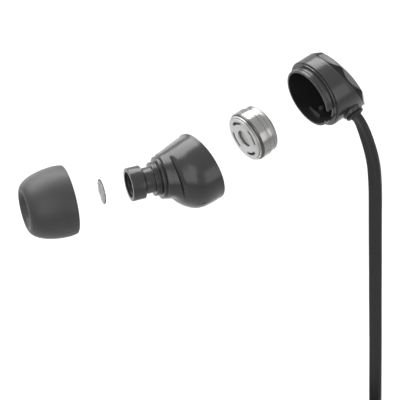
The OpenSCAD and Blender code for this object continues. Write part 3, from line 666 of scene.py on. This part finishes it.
def face_plate(side):
    slots, slot_r, slot_w, first, span = 4, 3.05, 0.26, 52.5, 46
    loops = [circle(PLATE_R), circle(PLATE_HOLE_R, 64)]
    loops += [bean(slot_r, slot_w, first + 360 / slots * k, span) for k in range(slots)]
    shape = outline_plate(loops, 0, PLATE_T, 0.05)
    ear_piece(side, "driver", "face_plate", shape, DRIVER, PLATE, "steel", "front_plate")


def toothed_ring(side):
    teeth, tooth_h, back, front = 66, 0.22, 0.42, 0.34
    inner, outer = PLATE_R + 0.03, DRIVER_R - 0.3

    def tooth(a, i, r, z):
        high = ease(min(1, max(0, 0.5 + 0.8 * cos(a * teeth))))
        return (r, z - tooth_h * high) if 1 <= i <= 4 else (r, z)

    ring = [(inner, back), (inner, front + 0.03), (inner + 0.03, front), (outer - 0.04, front),
            (outer, front + 0.04), (outer, back)]
    shape = [lathe(ring, 10 * teeth, wave=tooth)]
    ear_piece(side, "driver", "toothed_ring", shape, DRIVER, KNURL, "dark_steel", "trim_ring", sharp=50)


def driver_barrel(side):
    z0, z1 = FRAME_Z, FRAME_END
    bore, groove, hole_r, back_z = DRIVER_R - 0.45, DRIVER_R - 0.1, 2.63, z1 - 0.4
    shell = [(bore, z0, 0.04), (DRIVER_R - 0.32, z0, 0.04), (DRIVER_R - 0.12, z0 + 0.1, 0.15),
             (DRIVER_R, z0 + 0.42, 0.2), (DRIVER_R, z0 + 0.6, 0.02), (DRIVER_R, z1 - 0.42, 0.03),
             (groove, z1 - 0.36, 0.03), (groove, z1 - 0.26, 0.03), (DRIVER_R, z1 - 0.2, 0.03),
             (DRIVER_R, z1, 0.06), (hole_r, z1, 0.03), (hole_r, back_z, 0.03), (bore, back_z, 0.05)]
    vents = hole_circle(6, 0.3, 3.36, z1 - 0.8, z1 + 0.4, 16)
    barrel = combine(lathe(soften(shell, 0.05), 128), vents)
    # painted shade on the front shoulder: faces within 0.5 of the front take the darker steel
    for f in barrel.faces:
        f.material_index = int(f.calc_center_median().z < z0 + 0.5)
    ear_piece(side, "driver", "driver_barrel", barrel, DRIVER, STEEL, "steel", "driver_frame",
              extra=[DARK_ENDS_AND_PAINTED_SHADE])


def driver_can(side):
    """The rear can, with a row of dots pressed into its rounded corner."""
    z0, z1 = CAN_Z, CAN_END
    dots, dot_deep, groove, floor_z = 72, 0.07, CAN_R - 0.05, z1 - 0.25

    def dotted(a, i, r, z):
        return (r - dot_deep * (0.5 + 0.5 * cos(a * dots)), z) if 6 <= i <= 9 else (r, z)

    can = [(CAN_R - 0.25, z0), (CAN_R, z0), (CAN_R, z0 + 0.5), (groove, z0 + 0.53), (groove, z0 + 0.6),
           (CAN_R, z0 + 0.63), (CAN_R, z1 - 0.45), (CAN_R - 0.02, z1 - 0.36), (CAN_R - 0.3, z1 - 0.08),
           (CAN_R - 0.38, z1 - 0.02), (CAN_R - 0.5, z1), (0, z1), (0, floor_z), (CAN_R - 0.3, floor_z),
           (CAN_R - 0.25, z1 - 0.3)]
    holes = hole_circle(3, 0.35, CAN_R * 0.6, z1 - 1, z1 + 1, 20)
    shape = combine(lathe(can, 4 * dots, wave=dotted), holes)
    ear_piece(side, "driver", "driver_can", shape, DRIVER, STEEL, "steel", "rear_can")


def membrane(side):
    """A dome in the middle, and round it a roll with fine ripples."""
    outer, roll_from, dome_r, dome_edge, n = 3.9, 2, 1.95, 0.3, 40
    rim_z, dome_h, roll_h, ripple, ripples, thick = 0.85, 0.34, 0.2, 0.025, 22, 0.1
    front = []
    for k in range(n + 1):
        r = outer * k / n
        z = rim_z - dome_h * ease(min(1, max(0, (dome_r - r) / dome_edge)))
        if r > roll_from:
            roll = sin(pi * (r - roll_from) / (outer - roll_from)) ** 2
            z = rim_z - roll_h * roll + ripple * sin(r * ripples)
        front.append((r, z))
    sheet = front + [(r, z + thick) for r, z in reversed(front)]
    ear_piece(side, "membrane", "membrane", [solid_lathe(sheet, 96)], DRIVER, FILM, "film", "diaphragm")


def board(side):
    edge = arc(CAN_R * 0.75, pi / 2, 1.5 * pi, 36)
    shape = outline_plate([edge], BOARD_Z, 0.3, 0.03)
    ear_piece(side, "driver", "board", shape, DRIVER, BOARD, "board", "terminal_board")
    blob = [(0, 0.42), (0.16, 0.41), (0.3, 0.37), (0.4, 0.3), (0.4, 0.27), (0, 0.27)]
    pads = [moved(solid_lathe(blob, 24), shift(-CAN_R * 0.4, y, BOARD_Z)) for y in (-1, 1)]
    ear_piece(side, "driver", "solder_pads", pads, DRIVER, SOLDER, "steel")


# ----- rear housing, cap and bushing

CAP_SLOPE = tan(radians(CAP_TILT))
SPIGOT_END = SHOULDER_Z - SPIGOT_LEN


def box(x0, x1, y0, y1, z0, z1):
    return prism([[(x0, y0, z), (x1, y0, z), (x1, y1, z), (x0, y1, z)] for z in (z0, z1)])


def rear_wall():
    """Rings of the spigot, the shoulder and the wall, which ends on the cap's slanted plane."""
    z0, z1, base = SPIGOT_END, SHOULDER_Z, SHOULDER_Z + 1
    groove = SPIGOT_R - 0.12
    outer = [(REAR_BORE_R, z0, 0.08), (SPIGOT_R, z0, 0.12), (SPIGOT_R, z0 + 0.35, 0.05),
             (groove, z0 + 0.42, 0.04), (groove, z0 + 0.62, 0.04), (SPIGOT_R, z0 + 0.72, 0.05),
             (SPIGOT_R, z1 - 0.35, 0.05), (STEP_R, z1 - 0.35, 0.07), (STEP_R, z1 - 0.02, 0.02),
             (STEP_R + 0.06, z1, 0.02), (BODY_R, z1, 0.1), (BODY_R, base)]
    rings = lathe_rings(soften(outer, 0.05, closed=False), STEPS)
    # radius, share of the way up to the plane, and how far below the plane the way ends
    for r, part, down in [(BODY_R, 0.35, 0), (BODY_R, 0.7, 0), (BODY_R, 1, 0.07), (BODY_R - 0.02, 1, 0.03),
                          (BODY_R - 0.07, 1, 0), (REAR_BORE_R, 1, 0), (REAR_BORE_R, 0.5, 0)]:
        rise = CAP_Z - down - base
        rings.append([(x, y, base + (rise + CAP_SLOPE * x) * part) for x, y in circle(r, STEPS)])
    return rings + lathe_rings([(REAR_BORE_R, z1 + 0.2), (REAR_BORE_R, z0 + 0.3)], STEPS)


def rear_housing(side):
    to_out = BODY.inverted() @ OUTLET
    foot = BOSS_R + 0.1
    boss = [(0, REAR_BORE_R + 0.35), (foot, REAR_BORE_R + 0.35), (foot, BODY_R - 0.2, 0.1),
            (BOSS_R, BODY_R + 0.1, 0.2), (BOSS_R - 0.1, BOSS_TOP, 0.2), (0, BOSS_TOP)]
    boss = solid_lathe(boss, 48, 0.1, 5)
    key = box(-1, 1, -KEY_W / 2, KEY_W / 2, -1, SPIGOT_LEN - 0.45)
    key_at = turned("Z", -KEY_TURN) @ shift(REAR_BORE_R, 0, SPIGOT_END)
    bore = drill(BOSS_R - 0.47, 3, 12, 48)
    cuts = [moved(bore, to_out), moved(key, key_at)]
    shape = combine(skin(rear_wall()), cuts, [moved(boss, to_out)])
    ear_piece(side, "rear", "rear_shell", shape, BODY, SATIN, "satin_black", "rear_housing", sharp=32)


def inner_ribs(side):
    """The peg and the rib that show inside the rear housing's mouth."""
    rib_at = turned("Z", 6) @ shift(REAR_BORE_R, 0, SHOULDER_Z)
    rib = moved(box(-0.5, 0.2, -1.4, 1.4, 0, 0.3), rib_at)
    peg = solid_lathe([(0, -0.2), (0.45, -0.2), (0.45, 0.55, 0.15), (0, 0.6)], 32, 0.1)
    peg = moved(peg, rib_at @ shift(0, 0, 1.7) @ turned("Y", -90))
    ear_piece(side, "rear", "inner_ribs", [peg, rib], BODY, MOULDED, "satin_black")


def cap_surface():
    """The cap's height on the body axis, over its cross-section: a dome with flats round its edge."""
    blend = 0.09
    m = BODY.inverted() @ CAP
    drop = CAP_T - CAP_EDGE
    ball_r = (BODY_R ** 2 + drop ** 2) / (2 * drop)
    ball = m @ Vector((-CROWN_OFF, 0, CAP_T - ball_r))
    lean = radians(FLAT_TILT)
    planes = []
    for k in range(CAP_FLATS):
        a = 180 + FLAT_TURN + k * 360 / CAP_FLATS
        far = BODY_R / sqrt(1 - (sin(radians(CAP_TILT)) * cos(radians(a))) ** 2)
        turn = turned("Z", a)
        normal = (m @ turn).to_3x3() @ Vector((sin(lean), 0, cos(lean)))
        planes.append((m @ turn @ Vector((far, 0, FLAT_LOW)), normal))

    def height(x, y):
        low = ball.z + np.sqrt(ball_r ** 2 - (x - ball.x) ** 2 - (y - ball.y) ** 2)
        for p, n in planes:
            low = soft_min(low, p.z - (n.x * (x - p.x) + n.y * (y - p.y)) / n.z, blend)
        return low
    return height


def back_cap(side):
    height = cap_surface()
    steps, bevel, wall_drop, rim_drop, rim_r = 240, 0.03, 0.11, 0.035, BODY_R - 0.02
    c, s = np.array(circle(1, steps)).T
    seam = SEAT_GAP + CAP_Z + CAP_SLOPE * BODY_R * c
    wall_h = height(BODY_R * c, BODY_R * s) - wall_drop - seam
    rows = [(BODY_R - bevel, seam), (BODY_R, seam + bevel)]
    rows += [(BODY_R, seam + bevel + wall_h * t) for t in (0.35, 0.7, 1)]
    rows.append((rim_r, height(rim_r * c, rim_r * s) - rim_drop))
    for r in [BODY_R - 0.07, *np.linspace(BODY_R - 0.15, 4.2, 26), *np.linspace(4, 0.15, 22)]:
        rows.append((r, height(r * c, r * s)))
    verts, faces = skin([np.stack([r * c, r * s, z], 1) for r, z in rows], loop=False)
    centre = len(verts)
    verts.append(Vector((0, 0, height(0, 0))))
    last = centre - steps
    faces += [(last + k, last + (k + 1) % steps, centre) for k in range(steps)]
    faces.append(tuple(range(steps)))
    ear_piece(side, "rear", "cap", [(verts, faces)], BODY, GLOSS, "gloss_black", "back_cap", sharp=60)


def bushing(side):
    top, plug_r = BUSH_TOP - 0.25, BOSS_R - 0.5
    collar = [(0, REAR_BORE_R - 0.4), (plug_r, REAR_BORE_R - 0.4), (plug_r, BOSS_TOP + 0.02),
              (BUSH_R - 0.15, BOSS_TOP + 0.03, 0.05), (BUSH_R, BOSS_TOP + 0.25, 0.2),
              (BUSH_R, top - 0.25, 0.2), (BUSH_R - 0.3, top, 0.2), (0, top)]
    slot = box(-CORD_T / 2, CORD_T / 2, -CORD_W / 2, CORD_W / 2, 0, 20)
    shape = combine(solid_lathe(collar, 64, 0.05, 5), [slot])
    ear_piece(side, "rear", "cord_bushing", shape, OUTLET, RUBBER, "cord_rubber", "bushing")


# ----- cords

# the hank: its runs, how far its tie draws them in, its half width, the step between turns, the splitter's x
RUN_LEN, WAIST_IN, OUTER, STEP, INNER_X = 38, 1.5, 12.1, 0.825, 4
INNER, MAIN = OUTER - 4 * STEP, OUTER - 5 * STEP
LAYER = 2.9
LAYERS = [-LAYER * k for k in range(5)]
SPLIT_TOP, SPLIT_LEN, SPLIT_T = 16, 12, 3.6
SPLIT_Y = (LAYERS[0] + LAYERS[1]) / 2
SPLIT_W = LAYER + CORD_W + 0.7
N_RUN, N_TURN = 12, 14  # steps along a run and round a bend

# x, y, z, and the turn of the cord's width about Z
RIGHT_ROUTE = [(43.61, 3.23, -0.05, -72), (43.8, 2.75, -0.35, -71), (44.1, 2.05, -1.15, -68),
               (44.5, 1.05, -2.75, -62), (45, -0.25, -5.35, -56), (45.4, -1.15, -8.2, -49),
               (45.6, -1.7, -11.35, -44), (45.75, -2.05, -14.7, -38), (46, -2.15, -19.5, -34),
               (46.35, -2.25, -25.7, -31), (46.7, -2.4, -32, -29), (47.05, -2.5, -38.3, -28),
               (47.4, -2.65, -44.7, -27), (47.75, -2.8, -51, -27), (48.1, -2.9, -57.3, -28),
               (48.4, -3, -63, -32), (48.7, -3.1, -68.7, -42), (48.9, -3.2, -75, -60),
               (49, -3.25, -80.5, -80), (49, -3.25, -85, -90)]
TAIL = (-126.7, -132, -137.5, -143)  # heights along the other two cords' free ends


def drawn_in(half, z):
    """How far from the middle a run lies at a height: the tie draws it in."""
    return half - WAIST_IN * (0.5 + 0.5 * cos(tau * z / RUN_LEN))


def run(half, side, down, y0, y1):
    """A straight run of the hank, crossing from one layer to another if y0 and y1 differ."""
    out = []
    for k in range(N_RUN + 1):
        s = k / N_RUN
        z = down * RUN_LEN * (0.5 - s)
        out.append((side * drawn_in(half, z), y0 + (y1 - y0) * ease(s), z))
    return out


def bend(a, b, top, y):
    """The half turn at the hank's top (1) or bottom (-1), from a to b across it."""
    turn = arc(1, 0, pi, N_TURN)[1:-1]
    return [((a + b) / 2 + (a - b) / 2 * c, y, top * (RUN_LEN / 2 + abs(a - b) / 2 * s)) for c, s in turn]


def right_wound():
    y, out = LAYERS[0], []
    for k in range(4):
        side, half = (1, -1)[k % 2], OUTER - k * STEP
        out += run(half, side, side, y, y)
        out += bend(side * half, INNER_X if k == 3 else -side * (half - STEP), -side, y)
    return out + [(INNER_X, y, RUN_LEN / 2), (INNER_X, y, SPLIT_TOP)]


def left_wound():
    y = LAYERS[1]
    out = [(INNER_X, y, SPLIT_TOP), (INNER_X, y, RUN_LEN / 2)] + bend(INNER_X, -INNER, 1, y)
    for k in range(5):
        side, half = (-1, 1)[k % 2], INNER + k * STEP
        out += run(half, side, -side, y, y)
        if k < 4:
            out += bend(side * half, -side * (half + STEP), side, y)
    return out


def main_wound():
    """From the splitter down to the third layer, outward there, inward in the fourth, off in the fifth."""
    third, fourth, fifth = LAYERS[2:]
    low, straight, crossing = SPLIT_TOP - SPLIT_LEN, 2.5, 12
    out = [(INNER_X, SPLIT_Y, low)]
    for k in range(13):
        s = k / 12
        out.append((INNER_X, SPLIT_Y + (third - SPLIT_Y) * ease(s), low - straight - s * crossing))
    out += [(INNER_X, third, -RUN_LEN / 2)] + bend(INNER_X, -MAIN, -1, third)
    for k in range(6):
        side, half, y = (-1, 1)[k % 2], MAIN + k * STEP, fourth if k == 5 else third
        out += run(half, side, side, third, y)
        out += bend(side * half, STEP - OUTER if k == 5 else -side * (half + STEP), -side, y)
    for k in range(1, 4):
        side, half = (1, -1)[k % 2], OUTER - k * STEP
        out += run(half, side, side, fourth, fourth)
        out += bend(side * half, -side * (half - STEP), -side, fourth)
    for k in range(19):
        z = RUN_LEN * (0.5 - k / 18)
        s = min(1, max(0, k / 4 - 3))
        out.append((drawn_in(INNER, z), fourth + (fifth - fourth) * ease(s), z))
    return out


def spline(points, per):
    """Catmull-Rom through points of any dimension."""
    p = [np.array(q, float) for q in points]
    p = [2 * p[0] - p[1]] + p + [2 * p[-1] - p[-2]]
    out = []
    for i in range(1, len(p) - 2):
        for k in range(per):
            t = k / per
            out.append(0.5 * (2 * p[i] + (p[i + 1] - p[i - 1]) * t
                              + (2 * p[i - 1] - 5 * p[i] + 4 * p[i + 1] - p[i + 2]) * t * t
                              + (3 * p[i] - p[i - 1] - 3 * p[i + 1] + p[i + 2]) * t ** 3))
    return out + [p[-2]]


def flat_section():
    """Rounded outline of the flat cord, with a shallow groove along the middle of both its flat faces."""
    groove_w, groove_deep = 0.35, 0.07
    out = rounded_box(CORD_W, CORD_T, 0.3, 4)
    for after, way in ((15, -1), (5, 1)):
        y = way * CORD_T / 2
        out[after:after] = [(way * groove_w, y), (0, y - way * groove_deep), (-way * groove_w, y)]
    return out


def flat_tube(points, widths):
    """A tube along the points, with the directions in which its width lies."""
    section = flat_section()
    rings = []
    for i, (q, width) in enumerate(zip(points, widths)):
        a, b = points[max(0, i - 1)], points[min(len(points) - 1, i + 1)]
        t = ((q - a).normalized() + (b - q).normalized()).normalized()
        u = (width - t * width.dot(t)).normalized()
        v = t.cross(u)
        rings.append([q + u * x + v * y for x, y in section])
    return prism(rings)


def cord(name, free, wound, free_first, nodes):
    """One lead: a free stretch, with the turn of its width, and a wound one, whose width lies along Y."""
    free = [(Vector(q[:3]), turned("Z", q[3]) @ X_AXIS) for q in spline(free, 3)]
    wound = [(HANK_C + Vector(q), Vector((0, -1, 0))) for q in wound]
    both = free + wound if free_first else wound + free
    path = both[:1]
    for q in both[1:]:
        if (q[0] - path[-1][0]).length > 0.05:
            path.append(q)
    points, widths = zip(*path)
    length = sum((b - a).length for a, b in zip(points, points[1:])) * MM
    tube = [flat_tube(points, widths)]
    ob = piece(name, tube, Matrix.Identity(4), "cable", CORD, "cord_rubber", nodes, sharp=50)
    [tuple(q * MM) for q in points]


# ----- splitter, tie and plug


def splitter():
    """Two shells, each a half of one rounded bar with grip grooves."""
    at = Matrix.Translation(HANK_C + Vector((INNER_X, SPLIT_Y, SPLIT_TOP - SPLIT_LEN)))
    end = [(0, 0.5), (0.06, 0.25), (0.2, 0.08), (0.45, 0)]
    stations = list(end)
    for k in range(4):
        groove = 3.6 + 0.45 * k
        stations += [(groove, 0), (groove + 0.15, 0.16)]
    stations += [(SPLIT_LEN - z, inset) for z, inset in reversed(end)]
    rings = []
    for z, inset in stations:
        rings.append([(x, y, z) for x, y in rounded_box(SPLIT_T - 2 * inset, SPLIT_W - 2 * inset, 1)])
    made = []
    for way, name in ((1, "front"), (-1, "back")):
        bm = build_mesh([prism(rings)])
        geom = bm.verts[:] + bm.edges[:] + bm.faces[:]
        cut = bmesh.ops.bisect_plane(bm, geom=geom, plane_co=(way * SEAT_GAP / 2, 0, 0),
                                     plane_no=(-way, 0, 0), clear_outer=True, dist=1e-6)
        edges = [e for e in cut["geom_cut"] if isinstance(e, bmesh.types.BMEdge)]
        bmesh.ops.contextual_create(bm, geom=edges)
        half = piece("splitter_shell_" + name, bm, at, "cable", SATIN, "satin_black", ["splitter_" + name])
        made.append(half)
    return made


def hank_tie():
    tie_w, tie_t = 6, 0.7
    half_x = drawn_in(OUTER, tie_w / 2) + CORD_T / 2 + 0.25
    deep = LAYERS[0] - LAYERS[3] + CORD_W + 0.5
    rings = []
    for inset, z in soften([(0, 0, 0.2), (tie_t, 0, 0.2), (tie_t, tie_w, 0.2), (0, tie_w, 0.2)], 0.2):
        band = rounded_box(2 * (half_x + tie_t - inset), deep + 2 * (tie_t - inset), 1.5 - inset)
        rings.append([(x, y, z) for x, y in band])
    button = [(0, 0), (1.1, 0), (1.1, 0.25, 0.05), (1.7, 0.35, 0.15), (1.6, 0.8, 0.2), (0, 0.95)]
    button_at = shift(-3, -deep / 2 - tie_t + 0.05, tie_w / 2) @ turned("X", 90)
    button = moved(solid_lathe(button, 32, 0.1), button_at)
    at = Matrix.Translation(HANK_C + Vector((0, (LAYERS[0] + LAYERS[3]) / 2, -tie_w / 2)))
    return piece("hank_band", [skin(rings), button], at, "cable", TIE, "tie", ["hank_tie"])


def relief_profile(length):
    """Five beads on a thin neck."""
    thin, thick, beads = CORD_W / 2 + 0.3, CORD_W / 2 + 0.8, 5
    out = [(0, 0)]
    for k in range(beads):
        z = 0.6 + k * (length - 1) / beads
        out += [(thin, z - 0.1 if k else 0.05, 0.1), (thin, z, 0.08), (thick, z + 0.12, 0.15),
                (thick, z + 0.7, 0.15), (thin, z + 0.85, 0.08)]
    return out + [(thick, length), (0, length)]


def grip_profile(r, length):
    """A handle with a round shoulder and six thin grooves."""
    out = [(0, 0), (r - 0.9, 0, 0.3)] + quarter(r - 0.8, r, 0, 1.2, 9)[1:]
    for k in range(6):
        z = 4.4 + k * 0.9
        out += [(r, z), (r - 0.16, z + 0.12), (r - 0.16, z + 0.3), (r, z + 0.42)]
    return out + [(r, length - 1), (r - 0.5, length - 0.1, 0.2), (r - 0.7, length), (0, length)]


def plug():
    relief_len, grip_r, grip_len = 9, 3.1, 14
    jack_r, sleeve_len, ring_len, gap_len = 1.75, 8, 1.3, 0.6
    sleeve = [(0, 0), (jack_r, 0), (jack_r, sleeve_len, 0.08), (0, sleeve_len)]
    ring = [(0, 0), (jack_r, 0, 0.1), (jack_r, ring_len, 0.1), (0, ring_len)]
    nose = [(0, 0), (jack_r, 0, 0.08), (jack_r, 0.5, 0.15), (jack_r - 0.45, 1.3, 0.3),
            (jack_r - 0.1, 2, 0.25), (jack_r - 0.15, 2.3, 0.25), (0.4, 3.4, 0.3), (0, 3.5)]
    jack_z = relief_len + grip_len
    ring_z = jack_z + sleeve_len + gap_len
    gaps = [drill(jack_r - 0.3, z, z + gap_len, 64) for z in (ring_z - gap_len, ring_z + ring_len)]
    made = []

    def add(name, node, shape, z, mat, slot):
        at = Matrix.Translation(PLUG_TOP) @ turned("X", 180) @ shift(0, 0, z)
        made.append(piece(name, shape, at, "cable", mat, slot, [node]))

    relief, grip = relief_profile(relief_len), grip_profile(grip_r, grip_len)
    add("plug_flex_relief", "plug_relief", [solid_lathe(relief, 48, 0.08)], 0, RUBBER, "cord_rubber")
    add("plug_body", "plug_grip", [solid_lathe(grip, 72, 0.06)], relief_len, SATIN, "satin_black")
    add("jack_barrel", "jack_sleeve", [solid_lathe(sleeve, 64, 0.08)], jack_z, GOLD, "gold")
    add("jack_band", "jack_ring", [solid_lathe(ring, 64, 0.08)], ring_z, GOLD, "gold")
    add("jack_nose", "jack_tip", [solid_lathe(nose, 64, 0.08)], ring_z + ring_len + gap_len, GOLD, "gold")
    add("jack_spacers", "jack_insulators", gaps, 0, INSULATOR, "foam")
    return made


# ----- floor, world and lamps

LAMP_AIM = (0.022, 0.004, 0)  # metres, as are the lamps' places and sizes
FLOOR_HALF, FLOOR_DOWN, FLOOR_COLOR, FLOOR_GLOW = 3, 0.0005, (0.45, 0.45, 0.45, 1), 0.45
WORLD_LIGHT = 0.3  # of what the world shows


def seen_directly(tree):
    """1 where the camera, a reflection or clear glass looks at the background, 0 for the light it casts."""
    path = add_node(tree, "LightPath", {}).outputs
    value = path["Is Camera Ray"]
    for kind in ("Is Glossy Ray", "Is Transmission Ray"):
        value = add_node(tree, "Math", {0: value, 1: path[kind]}, "MAXIMUM").outputs[0]
    return value


def lay_floor():
    """Grey to the light, so that it keeps the object's shadow; its glow, only seen directly, whitens it."""
    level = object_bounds()[0].z - FLOOR_DOWN
    me = bpy.data.meshes.new("floor")
    corners = [(x * FLOOR_HALF, y * FLOOR_HALF, level) for x, y in ((-1, -1), (1, -1), (1, 1), (-1, 1))]
    me.from_pydata(corners, [], [(0, 1, 2, 3)])
    add_object("floor", me)
    mat = bpy.data.materials.new("floor")
    mat.use_nodes = True
    tree = mat.node_tree
    shader = tree.nodes["Principled BSDF"]
    feed(tree, shader.inputs, {"Base Color": FLOOR_COLOR, "Roughness": 0.9, "Specular IOR Level": 0.1})
    gain = add_node(tree, "Math", {0: seen_directly(tree), 1: FLOOR_GLOW}, "MULTIPLY").outputs[0]
    glow = add_node(tree, "Emission", {"Color": (1, 1, 1, 1), "Strength": gain}).outputs[0]
    both = add_node(tree, "AddShader", {0: shader.outputs[0], 1: glow}).outputs[0]
    feed(tree, tree.nodes["Material Output"].inputs, {"Surface": both})
    me.materials.append(mat)


def light_world():
    world = bpy.data.worlds.new("world")
    scene.world = world
    world.use_nodes = True
    tree = world.node_tree
    seen = seen_directly(tree)
    strength = add_node(tree, "MapRange", {"Value": seen, "To Min": WORLD_LIGHT}).outputs["Result"]
    feed(tree, tree.nodes["Background"].inputs, {"Color": (1, 1, 1, 1), "Strength": strength})


def lamp(name, at, size, watts, look=LAMP_AIM):
    data = bpy.data.lights.new(name, "AREA")
    data.shape = "RECTANGLE"
    data.size, data.size_y = size
    data.energy = watts
    ob = add_object(name, data)
    at = Vector(at)
    aim = (at - Vector(look)).to_track_quat("Z", "Y")
    ob.matrix_world = Matrix.Translation(at) @ aim.to_matrix().to_4x4()


# ----- build it all

split_parts = splitter()
tie = hank_tie()
plug_parts = plug()
cord("right_cord", RIGHT_ROUTE, right_wound(), True, ["right_lead", "right_lead_wound"])
cord("main_cord", [(PLUG_TOP.x, PLUG_TOP.y, z, -90) for z in TAIL], main_wound(), False,
     ["main_lead_wound", "main_lead_end"])
cord("left_cord", [(LEFT_END.x, LEFT_END.y, z, -90) for z in TAIL], left_wound(), False,
     ["left_lead_wound", "left_lead"])
for side in ("right", "left"):
    for make in (ear_tip, woven_mesh, front_housing, mouth_cross, face_plate, toothed_ring, driver_barrel,
                 driver_can, membrane, board, rear_housing, inner_ribs, back_cap, bushing):
        make(side)
    for node, mat in KEPT_NODES.items():
        dress(side + "_" + node, mat)
lay_floor()
light_world()
lamp("key_lamp", (-0.115, 0.409, 0.426), (0.76, 0.48), 5.9)
lamp("back_lamp", (0.333, 0.407, 0.314), (0.3, 0.3), 1.3)
lamp("side_lamp", (0.32, -0.43, 0.115), (0.3, 0.36), 0.42)
lamp("edge_lamp", (-0.10, 0.56, -0.11), (0.4, 0.35), 0.7)
lamp("fill_lamp", (-0.253, -0.405, 0.268), (0.38, 0.6), 1.1)
lamp("end_lamp", (0.432, 0.076, 0.067), (0.15, 0.2), 0.24, look=(0.043, 0.004, 0.007))
